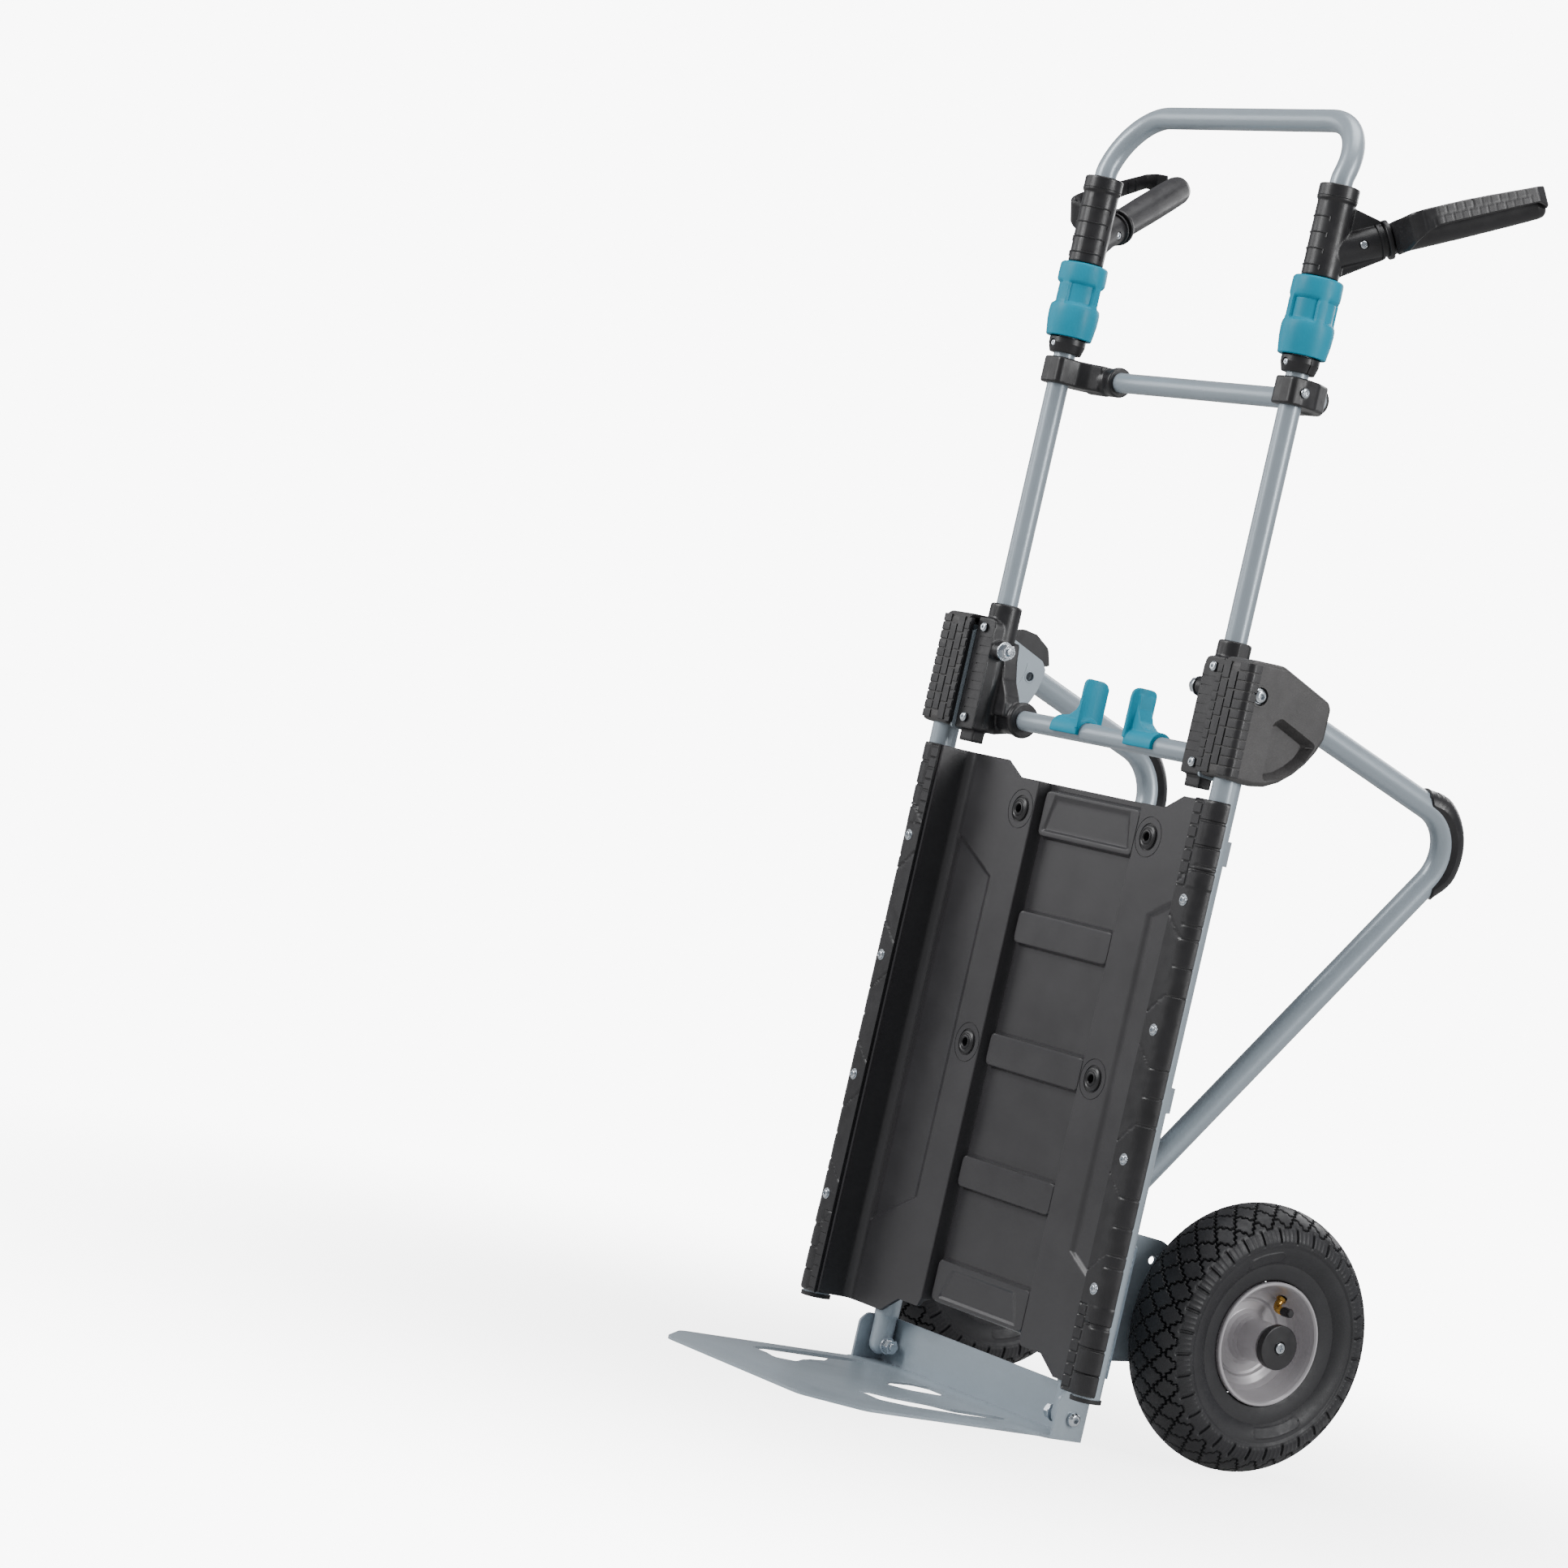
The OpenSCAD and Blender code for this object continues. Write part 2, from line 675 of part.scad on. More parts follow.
module clamp_rivets() {
  for (s = [-1, 1]) {
    color(zinc) side(s) {
      cyl_x(192, 203.5, handle_y, hz + cross_z, 3);
      cyl_x(203.05, 205.4, handle_y, hz + cross_z, 5);
    }
  }
}

module stop_rings() {
  for (s = [-1, 1]) {
    color(black) side(s) translate([handle_x, handle_y, hz + 306]) difference() {
      rotate_extrude() polygon([[handle_r + 0.02, 0], [16, 0], [18.5, 9], [18.5, 15],
        [handle_r + 0.02, 15]]);
      translate([0, -25, 8]) rotate([-90, 0, 0]) cylinder(r = 3.6, h = 8.4);
    }
  }
}
module stop_ring_screws() {
  for (s = [-1, 1]) {
    color(zinc) side(s) difference() {
      cyl_y(handle_y - 17.9, handle_y - 16.65, handle_x, hz + 314, 3.3);
      cyl_y(handle_y - 19, handle_y - 17.3, handle_x, hz + 314, 1.3);
    }
  }
}

// Lock collar: slides down to free the grip
module collar() {
  color(teal) translate([handle_x, handle_y, hz]) rotate_extrude() polygon([
    [18.58, 322], [22.5, 322], [25.3, 338], [25.5, 350], [24, 353], [21.8, 355], [21.8, 375],
    [24, 379], [24, 395], [22.5, 397], [15.08, 397], [15.08, 376], [18.58, 372]]);
}
module left_collar() side(-1) collar();
module right_collar() side(1) collar();

// Release lever: saddle over the lower crossbar with a curved finger plate at its inner end
module lever() {
  cz = hz + lock_z;
  color(teal) difference() {
    union() {
      cyl_x(38, 82, lock_y, cz, 14);
      intersection() {
        difference() {
          translate([10, lock_y, cz + 2]) cylinder(r = 34, h = 52);
          translate([10, lock_y, cz + 1]) cylinder(r = 29, h = 54);
        }
        block([30, lock_y - 15, cz + 3], [50, lock_y + 15, cz + 53]);
      }
      translate([0, lock_y + 9, cz]) rotate([90, 0, 0]) linear_extrude(height = 18)
        polygon([[40, 5], [72, 5], [72, 13], [60, 15], [51, 21], [45, 32], [40, 32]]);
    }
    cyl_x(10, 100, lock_y, cz, bar_r + 0.06);
    block([10, lock_y - 20, cz - 20], [100, lock_y + 20, cz - 4]);
    block([10, lock_y + 4, cz - 20], [100, lock_y + 30, cz + 6]);
  }
  color(teal) block([48, lock_y - 3, cz + 3.9], [56, lock_y + 3, cz + 12]);
}
module left_lever() side(-1) lever();
module right_lever() side(1) lever();

module lock_pin() {
  cz = hz + lock_z;
  color(zinc) difference() {
    union() {
      cyl_x(70, 201.2, lock_y, cz, bolt_r);
      cyl_x(40, 72, lock_y, cz, 7);
    }
    block([47.9, lock_y - 3.1, cz + 3.8], [56.1, lock_y + 3.1, cz + 10]);
  }
}
module left_lock_pin() side(-1) lock_pin();
module right_lock_pin() side(1) lock_pin();

// ---------------------------------------------------------------- grips
module grip_place() {
  translate([handle_x, handle_y, hz + grip_z]) rotate([0, 0, grip_az]) children();
}
gd = [cos(grip_el), 0, sin(grip_el)];
module grip_sleeve() {
  color(black) grip_place() difference() {
    union() {
      translate([0, 0, -22]) cylinder(r = 18, h = 74);
      translate([0, 0, 51]) cylinder(r = 19.5, h = 15.5);
      translate([0, 0, -36]) cylinder(r = 15, h = 15);
      along([0, 0, 0], gd) cylinder(r = 16.2, h = 60);
      along(gd * 59, gd) cylinder(r = 19, h = 5);
      translate([0, 2.5, 0]) rotate([90, 0, 0]) linear_extrude(height = 5)
        polygon([[14, 48], [19, 48], [44, 42], [50, 28], [57, 11], [14, -18]]);
    }
    translate([0, 0, -40]) cylinder(r = handle_r + 0.05, h = 120);
    along(gd * 22, gd) cylinder(r = 9.05, h = 60);
  }
}
module left_grip_sleeve() side(-1) grip_sleeve();
module right_grip_sleeve() side(1) grip_sleeve();

module grip_bar() {
  color(black) grip_place() {
    along(gd * 64.1, gd) cylinder(r = grip_r, h = grip_end - 64.1);
    along(gd * 22.5, gd) cylinder(r = 9, h = 45);
  }
}
module left_grip_bar() side(-1) grip_bar();
module right_grip_bar() side(1) grip_bar();

// D-shaped loop on the outer side of the grip
module knuckle_guard() {
  color(black) grip_place() multmatrix([
    [gd[0], 0, -gd[2], 0], [0, 1, 0, 0], [gd[2], 0, gd[0], 0], [0, 0, 0, 1]])
    translate([0, 0, -8]) linear_extrude(height = 20) polygon([
      [64.6, -15.4], [64.6, -22], [72, -60], [80, -66], [96, -64], [206, -34], [213.5, -24],
      [213.5, -15.4], [205, -15.4], [203, -28], [97, -57], [84, -59.5], [78, -56],
      [74.5, -22], [74.5, -15.4]]);
}
module left_knuckle_guard() side(-1) knuckle_guard();
module right_knuckle_guard() side(1) knuckle_guard();

left_rail();
right_rail();
left_rail_cover();
right_rail_cover();
rail_end_caps();
cover_screws();
deck_panel();
deck_grommets();
cross_straps();
left_leg();
right_leg();
foot_covers();
left_axle_bracket();
right_axle_bracket();
axle_rod();
hub_caps();
hub_cap_screws();
left_hinge_plate();
right_hinge_plate();
left_hinge_housing();
right_hinge_housing();
plate_caps();
hinge_bolts();
hinge_nuts();
toe_bolts();
toe_nuts();
toe_plate();
left_tyre();
right_tyre();
left_rim();
right_rim();
left_bearings();
right_bearings();
left_valve();
right_valve();
left_valve_cap();
right_valve_cap();
handle_tube();
left_bracket();
right_bracket();
bracket_screws();
lower_crossbar();
upper_crossbar();
crossbar_clamps();
clamp_rivets();
stop_rings();
stop_ring_screws();
left_collar();
right_collar();
left_lever();
right_lever();
left_lock_pin();
right_lock_pin();
left_grip_sleeve();
right_grip_sleeve();
left_grip_bar();
right_grip_bar();
left_knuckle_guard();
right_knuckle_guard();
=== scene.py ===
"""Looks of the convertible hand truck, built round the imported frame.

Shapes are worked out in millimetres in the row frame; piece() turns them into metres and lets them ride.
The right-hand parts are modelled, and the left-hand ones are their mirror images.
"""

import json
import math
from math import cos, pi, sin

import bmesh
import bpy
import numpy as np
from mathutils import Matrix, Vector


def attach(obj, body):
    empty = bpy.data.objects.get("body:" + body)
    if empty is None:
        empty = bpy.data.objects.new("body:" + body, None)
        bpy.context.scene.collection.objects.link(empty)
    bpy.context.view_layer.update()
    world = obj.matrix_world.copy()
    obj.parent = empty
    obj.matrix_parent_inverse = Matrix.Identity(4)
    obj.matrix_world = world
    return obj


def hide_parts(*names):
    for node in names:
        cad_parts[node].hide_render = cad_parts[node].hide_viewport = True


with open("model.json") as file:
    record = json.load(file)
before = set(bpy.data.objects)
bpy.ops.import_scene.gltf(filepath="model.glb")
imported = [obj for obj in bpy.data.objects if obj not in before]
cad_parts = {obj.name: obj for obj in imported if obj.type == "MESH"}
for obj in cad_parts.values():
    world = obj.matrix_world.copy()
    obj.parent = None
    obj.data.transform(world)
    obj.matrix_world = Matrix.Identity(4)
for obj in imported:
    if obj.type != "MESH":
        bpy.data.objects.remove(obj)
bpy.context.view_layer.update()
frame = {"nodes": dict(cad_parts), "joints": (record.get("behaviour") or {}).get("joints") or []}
JOINTS = {j["name"]: j for j in frame["joints"]}


def joint_at(name):
    """A joint's place in mm."""
    return [1000 * c for c in JOINTS[name]["pos_m"]]


HINGE_Z = joint_at("handle_fold")[2]
TOE_Y, TOE_Z = joint_at("toe_fold")[1:]
WHEEL_X, AXLE_Y, TYRE_R = joint_at("right_wheel_spin")
TUBE_X, TUBE_Y, GRIP_Z = joint_at("right_grip_swivel")
X, Y, Z = Vector((1, 0, 0)), Vector((0, 1, 0)), Vector((0, 0, 1))
WHEEL_CENTRE = (WHEEL_X, AXLE_Y, TYRE_R)
BAR_Y, BAR_Z = 31, HINGE_Z - 63
HIGH_BAR_Y, HIGH_BAR_Z = 47, HINGE_Z + 288
LEG_X, LEG_Y, LEG_R, LEG_END_R = 155.3, 38.5, 12.5, 11.2
LEG_KNEE, LEG_FOOT, LEG_TOP = (LEG_X, LEG_Y, 221.5), (239, 300.6, 644.8), (228.4, 60, 717.5)
COVER_SCREW_Z = (153, 276.5, 400, 524)
STRAP_X, STRAP_Z = 105, (337, 574.5)

# ------------------------------------------------------------------ camera and studio
VIEW_AZIMUTH, VIEW_ELEVATION, VIEW_ROLL = 56.30, 0.04, 12.94
VIEW_TARGET = Vector((-0.6131, 0.0800, 0.5455))
VIEW_DISTANCE = 5.199
VIEW_LENS = 109.78
BACKDROP, BOUNCE, AMBIENT = 9.0, 0.5, 0.34


def in_scene(name, data):
    """A new object in the scene."""
    o = bpy.data.objects.new(name, data)
    bpy.context.scene.collection.objects.link(o)
    return o


def make_camera():
    a, e, r = (math.radians(v) for v in (VIEW_AZIMUTH, VIEW_ELEVATION, VIEW_ROLL))
    back = Vector((sin(a) * cos(e), -cos(a) * cos(e), sin(e)))
    level = Vector((cos(a), sin(a), 0))
    right = cos(r) * level + sin(r) * back.cross(level)
    camera = in_scene("camera", bpy.data.cameras.new("camera"))
    camera.data.lens = VIEW_LENS
    camera.data.sensor_width = 36
    camera.data.clip_end = 60
    turn = Matrix((right, back.cross(right), back)).transposed()
    camera.matrix_world = Matrix.Translation(VIEW_TARGET + VIEW_DISTANCE * back) @ turn.to_4x4()
    bpy.context.scene.camera = camera


def area_light(name, place, target, size, power):
    light = in_scene(name, bpy.data.lights.new(name, "AREA"))
    light.data.shape = "RECTANGLE"
    light.data.size, light.data.size_y = size
    light.data.energy = power
    light.location = place
    light.rotation_euler = (Vector(target) - Vector(place)).to_track_quat("-Z", "Y").to_euler()


def node(tree, kind, **values):
    """A new shader node with its inputs set; a _ in a name stands for a space."""
    new = tree.nodes.new("ShaderNode" + kind)
    for name, value in values.items():
        new.inputs[name.replace("_", " ")].default_value = value
    return new


def mixed(tree, share, a, b):
    """The output of a shader that goes from a to b with share."""
    mix = node(tree, "MixShader")
    for socket, source in zip(mix.inputs, (share, a, b)):
        tree.links.new(source, socket)
    return mix.outputs[0]


def make_studio():
    world = bpy.data.worlds.new("studio")
    bpy.context.scene.world = world
    world.use_nodes = True
    tree = world.node_tree
    tree.nodes.clear()
    seen = node(tree, "LightPath").outputs["Is Camera Ray"]
    soft = node(tree, "Background", Color=(0.93, 0.95, 1, 1), Strength=AMBIENT)
    white = node(tree, "Background", Color=(1, 1, 1, 1), Strength=BACKDROP)
    sky = mixed(tree, seen, soft.outputs[0], white.outputs[0])
    tree.links.new(sky, node(tree, "OutputWorld").inputs["Surface"])
    area_light("key", (-1.1, -3.4, 2.6), (0, 0, 0.6), (1.2, 2.4), 135)
    area_light("front", (-2.7, -1.9, 1.5), (0, 0, 0.5), (1.3, 1.5), 18)
    area_light("top", (0.3, 0.4, 4.0), (0, 0, 0.4), (2.4, 2.4), 90)
    area_light("side", (3.6, 1.4, 1.9), (0, 0, 0.7), (1.0, 2.6), 120)
    area_light("rear", (-1.6, 3.6, 2.4), (0, 0, 0.6), (1.8, 2.0), 55)


# ------------------------------------------------------------------ mesh tools
LONGEST_RUN = 20
MERGE = 1e-4


def radians(start, stop, count):
    """Evenly spaced angles, given in degrees."""
    return np.radians(np.linspace(start, stop, count))


def add(verts, faces):
    """A closed mesh object from points and faces, with its normals outwards."""
    me = bpy.data.meshes.new("part")
    me.from_pydata([tuple(v) for v in verts], [], faces)
    o = in_scene("part", me)
    tidy(o)
    return o


def tidy(o):
    """Merges double points, drops loose edges and turns the normals outwards."""
    bm = bmesh.new()
    bm.from_mesh(o.data)
    bmesh.ops.remove_doubles(bm, verts=bm.verts, dist=MERGE)
    bmesh.ops.delete(bm, geom=[e for e in bm.edges if e.is_wire], context="EDGES")
    bmesh.ops.recalc_face_normals(bm, faces=bm.faces)
    bm.to_mesh(o.data)
    bm.free()


def bake(o):
    """Applies o's modifiers to its mesh."""
    bpy.context.view_layer.update()
    shape = o.evaluated_get(bpy.context.evaluated_depsgraph_get())
    old = o.data
    o.data = bpy.data.meshes.new_from_object(shape)
    o.modifiers.clear()
    bpy.data.meshes.remove(old)
    return o


def join(*parts):
    """One object that holds the meshes of all parts."""
    bm = bmesh.new()
    for p in parts:
        bm.from_mesh(p.data)
    keep = parts[0]
    bm.to_mesh(keep.data)
    bm.free()
    for p in parts[1:]:
        bpy.data.objects.remove(p)
    return keep


def boolean(o, tools, operation, solver="MANIFOLD"):
    """Works tools into o; all but the exact solver's flat faces are merged again."""
    for tool in tools:
        m = o.modifiers.new("boolean", "BOOLEAN")
        m.operation = operation
        m.solver = solver
        m.object = tool
        bake(o)
        bpy.data.objects.remove(tool)
    if solver == "EXACT":
        return o
    bm = bmesh.new()
    bm.from_mesh(o.data)
    bmesh.ops.dissolve_limit(bm, angle_limit=0.01, verts=bm.verts, edges=bm.edges)
    bm.to_mesh(o.data)
    bm.free()
    return o


def fuse(o, *tools):
    return boolean(o, tools, "UNION")


def cut(o, *tools):
    return boolean(o, tools, "DIFFERENCE")


def cut_each(o, *tools):
    """Cuts with one tool after the other, and merges flat faces after each."""
    for tool in tools:
        cut(o, tool)
    return o


def bevel(o, width, segments=2, angle=30):
    m = o.modifiers.new("bevel", "BEVEL")
    m.width = width
    m.segments = segments
    m.limit_method = "ANGLE"
    m.angle_limit = math.radians(angle)
    return bake(o)


def blend_edges(o, voxel, rounds):
    """Remeshes o at a fine pitch and relaxes it, which fillets where its shapes meet."""
    m = o.modifiers.new("remesh", "REMESH")
    m.mode = "VOXEL"
    m.voxel_size = voxel
    m.adaptivity = 0
    s = o.modifiers.new("relax", "SMOOTH")
    s.factor = 0.5
    s.iterations = rounds
    return bake(o)


def rounded(points, radius, n=5):
    """The outline with each corner rounded; radius is one number or one for each corner."""
    out = []
    count = len(points)
    for i, p in enumerate(points):
        p = Vector(p)
        before, after = Vector(points[i - 1]) - p, Vector(points[(i + 1) % count]) - p
        r = radius[i] if hasattr(radius, "__len__") else radius
        if r <= 0:
            out.append(tuple(p))
            continue
        reach = r / math.tan(max(before.angle(after), 1e-3) / 2)
        if reach < 1e-4:
            out.append(tuple(p))
            continue
        reach = min(reach, 0.48 * before.length, 0.48 * after.length)
        a, b = p + reach * before.normalized(), p + reach * after.normalized()
        for k in range(n + 1):
            t = k / n
            out.append(tuple((1 - t) ** 2 * a + 2 * t * (1 - t) * p + t * t * b))
    return out


def circle(cx, cy, r, n=32, start=0.0, turn=2 * pi):
    return [(cx + r * cos(start + turn * k / n), cy + r * sin(start + turn * k / n))
            for k in range(n if turn > 6.28 else n + 1)]


def box(lo, hi):
    return prism([(lo[0], lo[1]), (hi[0], lo[1]), (hi[0], hi[1]), (lo[0], hi[1])], lo[2], hi[2], "z")


PLACE = {"x": lambda p, h: (h, *p), "y": lambda p, h: (p[0], h, p[1]), "z": lambda p, h: (*p, h)}


def prism(outline, lo, hi, axis, end=None):
    """An outline across axis, run from lo to hi; end is the outline at hi if it differs."""
    n = len(outline)
    verts = [PLACE[axis](p, lo) for p in outline] + [PLACE[axis](p, hi) for p in (end or outline)]
    faces = [list(range(n)), list(range(n, 2 * n))]
    faces += [[i, (i + 1) % n, n + (i + 1) % n, n + i] for i in range(n)]
    return add(verts, faces)


def grid(rows, wrap_rows=False, wrap_cols=False, cap=False):
    """A skin over rows of points, closed round either way, with flat ends if cap."""
    rows = np.asarray(rows, float)
    m, n = rows.shape[:2]
    faces = []
    for i in range(m if wrap_rows else m - 1):
        for j in range(n if wrap_cols else n - 1):
            a, b = i * n, ((i + 1) % m) * n
            faces.append([a + j, a + (j + 1) % n, b + (j + 1) % n, b + j])
    if cap:
        faces += [list(range(n)), list(range((m - 1) * n, m * n))]
    return add(rows.reshape(-1, 3), faces)


def skin(rows):
    """A closed skin over rings that follow one another, with flat ends."""
    return grid(rows, wrap_cols=True, cap=True)


def ring_skin(rows):
    """A closed skin over rings that come back to the first one."""
    return grid(rows, wrap_rows=True, wrap_cols=True)


def aim(o, origin, z=Z, x=None):
    """Turns a shape made along +Z so that it points along z, at origin."""
    z = Vector(z).normalized()
    x = Vector(x) if x is not None else (X if abs(z.x) < 0.9 else Y)
    x = (x - x.dot(z) * z).normalized()
    turn = Matrix((x, z.cross(x), z)).transposed().to_4x4()
    o.data.transform(Matrix.Translation(Vector(origin)) @ turn)
    return o


def lathe(profile, origin=(0, 0, 0), z=Z, n=48):
    """A closed profile of (radius, height) points turned about z."""
    angles = [2 * pi * k / n for k in range(n)]
    rows = [[(r * cos(t), r * sin(t), h) for r, h in profile] for t in angles]
    return aim(ring_skin(rows), origin, z)


def rod(p, q, r, n=40, soft=0.0):
    """A round bar from p to q with edges rounded by soft."""
    p, q = Vector(p), Vector(q)
    h = (q - p).length
    ring = [(0, 0), (r, 0), (r, h), (0, h)]
    return lathe(rounded(ring, [0, soft, soft, 0], 4) if soft else ring, p, q - p, n)


def rod_x(lo, hi, y, z, *size):
    """A round bar along x."""
    return rod((lo, y, z), (hi, y, z), *size)


def rod_z(x, y, lo, hi, *size):
    """A round bar along z."""
    return rod((x, y, lo), (x, y, hi), *size)


def bent(points, radii):
    """The points of a line through its corners, with each inner corner bent to its radius."""
    points = [Vector(p) for p in points]
    out = [points[0]]
    for i, r in enumerate(radii, 1):
        a = (points[i] - points[i - 1]).normalized()
        b = (points[i + 1] - points[i]).normalized()
        angle = a.angle(b)
        start = points[i] - r * math.tan(angle / 2) * a
        inward = (b - a.dot(b) * a).normalized()
        steps = max(4, int(math.degrees(angle) / 5))
        for k in range(steps + 1):
            t = angle * k / steps
            out.append(start + r * (1 - cos(t)) * inward + r * sin(t) * a)
    return out + [points[-1]]


def heading(line, i):
    """The direction of a line at its point i."""
    return (line[min(i + 1, len(line) - 1)] - line[max(i - 1, 0)]).normalized()


def refined(line, count):
    """A line with each run cut into count(length) equal steps."""
    fine = []
    for a, b in zip(line, line[1:]):
        steps = count((b - a).length)
        fine += [a.lerp(b, k / steps) for k in range(steps)]
    return fine + [line[-1]]


def distances(line):
    """How far along a line each of its points is."""
    run = [0.0]
    for a, b in zip(line, line[1:]):
        run.append(run[-1] + (b - a).length)
    return run


def sweep(path, radius, n=40):
    """A round bar along path; radius is one number or one for each point."""
    path = [Vector(p) for p in path]
    radii = radius if hasattr(radius, "__len__") else [radius] * len(path)
    line = []
    for a, b, ra, rb in zip(path, path[1:], radii, radii[1:]):
        steps = 1 + int((b - a).length / LONGEST_RUN)
        line += [(a.lerp(b, k / steps), ra + (rb - ra) * k / steps) for k in range(steps)]
    path, radii = zip(*line, (path[-1], radii[-1]))
    side = None
    rows = []
    for i, (p, r) in enumerate(zip(path, radii)):
        d = heading(path, i)
        side = (side - side.dot(d) * d).normalized() if side else d.orthogonal().normalized()
        up = d.cross(side)
        rows.append([p + r * (cos(t) * side + sin(t) * up)
                     for t in (2 * pi * k / n for k in range(n))])
    return skin(rows)


def copy(o):
    c = o.copy()
    c.data = o.data.copy()
    bpy.context.scene.collection.objects.link(c)
    return c


def mirrored(o):
    """o's mirror image on the other side of the truck."""
    m = copy(o)
    m.data.transform(Matrix.Scale(-1, 4, X))
    m.data.flip_normals()
    return m


def piece(name, o, body, material, nodes=(), crease=35):
    """Finishes a shape: metres, shading, material, the body that it rides on and the nodes it stands for."""
    o.name = o.data.name = name
    o.data.transform(Matrix.Scale(0.001, 4))
    o.data.shade_smooth()
    o.data.set_sharp_from_angle(angle=math.radians(crease))
    o.data.materials.clear()
    o.data.materials.append(material)
    m = o.modifiers.new("normals", "WEIGHTED_NORMAL")
    m.keep_sharp = True
    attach(o, body)
    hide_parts(*nodes)


def pair(name, o, body, material, node, crease=35):
    """A right-hand piece and its mirror image; {} in body and node is right or left."""
    for where, shape in (("left", mirrored(o)), ("right", o)):
        piece(f"{name}_{where}", shape, body.format(where), material, [node.format(where)], crease)


def both(o):
    """A shape joined with its mirror image."""
    return join(o, mirrored(o))


def two_sided(half):
    """An outline from its points at positive x, and the same points at negative x."""
    return half + [(-x, y) for x, y in reversed(half)]


# ------------------------------------------------------------------ materials
def material(name, color, rough, metal=0.0, coat=0.0, coat_rough=0.2, specular=0.5,
             tint=0.12, tint_scale=9.0, grain=0.2, grain_scale=900.0, grain_size=0.0002,
             rough_spread=0.08, dust=0.0):
    """A surface with mottled colour, uneven gloss and a fine raised grain, all in object space."""
    m = bpy.data.materials.new(name)
    m.use_nodes = True
    tree = m.node_tree
    link = tree.links.new
    shader = tree.nodes["Principled BSDF"]
    shader.inputs["Metallic"].default_value = metal
    shader.inputs["Coat Weight"].default_value = coat
    shader.inputs["Coat Roughness"].default_value = coat_rough
    shader.inputs["Specular IOR Level"].default_value = specular
    place = node(tree, "TexCoord").outputs["Object"]

    def noise(scale, detail, roughness):
        n = node(tree, "TexNoise", Scale=scale, Detail=detail, Roughness=roughness)
        link(place, n.inputs["Vector"])
        return n.outputs["Fac"]

    def ramp(share, low, high):
        r = node(tree, "MapRange", From_Min=0.3, From_Max=0.7, To_Min=low, To_Max=high)
        link(share, r.inputs["Value"])
        return r.outputs["Result"]

    mix = node(tree, "Mix")
    mix.data_type = "RGBA"
    mix.inputs["A"].default_value = (*(c * (1 - tint) for c in color), 1)
    mix.inputs["B"].default_value = (*(min(1, c * (1 + tint) + dust) for c in color), 1)
    link(ramp(noise(tint_scale, 5, 0.55), 0, 1), mix.inputs["Factor"])
    link(mix.outputs["Result"], shader.inputs["Base Color"])
    gloss = ramp(noise(tint_scale * 4, 4, 0.55), rough - rough_spread, rough + rough_spread)
    link(gloss, shader.inputs["Roughness"])
    bump = node(tree, "Bump", Strength=grain, Distance=grain_size)
    link(noise(grain_scale, 2, 0.5), bump.inputs["Height"])
    link(bump.outputs["Normal"], shader.inputs["Normal"])
    return m


def object_place(m):
    """The object-space place that a material's textures start from."""
    return next(n for n in m.node_tree.nodes if n.type == "TEX_COORD").outputs["Object"]


def brushed(name, color, rough, stretch=(1, 1, 14)):
    """Plated metal with fine drawn lines and a faint mottle."""
    m = material(name, color, rough, metal=1.0, tint=0.1, tint_scale=60, grain=0.25,
                 grain_scale=500, grain_size=0.0001)
    place = node(m.node_tree, "Mapping", Scale=stretch)
    m.node_tree.links.new(object_place(m), place.inputs["Vector"])
    for n in m.node_tree.nodes:
        if n.type == "TEX_NOISE":
            m.node_tree.links.new(place.outputs["Vector"], n.inputs["Vector"])
    return m


PAINT = material("blue_grey_powder_coat", (0.33, 0.385, 0.43), 0.35, metal=0.3, coat=0.2,
                 coat_rough=0.3, tint=0.035, tint_scale=14, grain=0.06, grain_scale=160,
                 grain_size=0.0001, rough_spread=0.03)
BLACK = material("black_grained_plastic", (0.0135, 0.013, 0.0145), 0.38, tint=0.2, tint_scale=22,
                 grain=0.15, grain_scale=1000, grain_size=0.00012, dust=0.001)
DECK = material("charcoal_deck_plastic", (0.029, 0.028, 0.0305), 0.36, tint_scale=7, grain=0.06,
                grain_size=0.0001, specular=0.6, dust=0.001, rough_spread=0.05)
GRAIN = material("coarse_grained_plastic", (0.05, 0.048, 0.048), 0.5, tint=0.16, tint_scale=30,
                 grain=0.6, grain_scale=1100, grain_size=0.0003, dust=0.002)
TEAL = material("turquoise_plastic", (0.0, 0.27, 0.405), 0.45, tint=0.04, tint_scale=25,
                grain=0.1, grain_scale=1500, grain_size=0.0001, specular=0.25)
ZINC = brushed("zinc_plated_steel", (0.6, 0.64, 0.68), 0.2)
RUBBER = material("tyre_rubber", (0.0125, 0.0125, 0.0145), 0.52, tint=0.22, tint_scale=30,
                  grain=0.4, specular=0.45, dust=0.002, rough_spread=0.1)
RIM = material("warm_grey_gloss_paint", (0.37, 0.355, 0.37), 0.36, metal=0.1, coat=0.35,
               coat_rough=0.12, tint=0.04, tint_scale=18, grain=0.05, grain_scale=700, grain_size=0.0001,
               rough_spread=0.03)
BRASS = brushed("brass", (0.6, 0.34, 0.08), 0.28, (1, 1, 5))


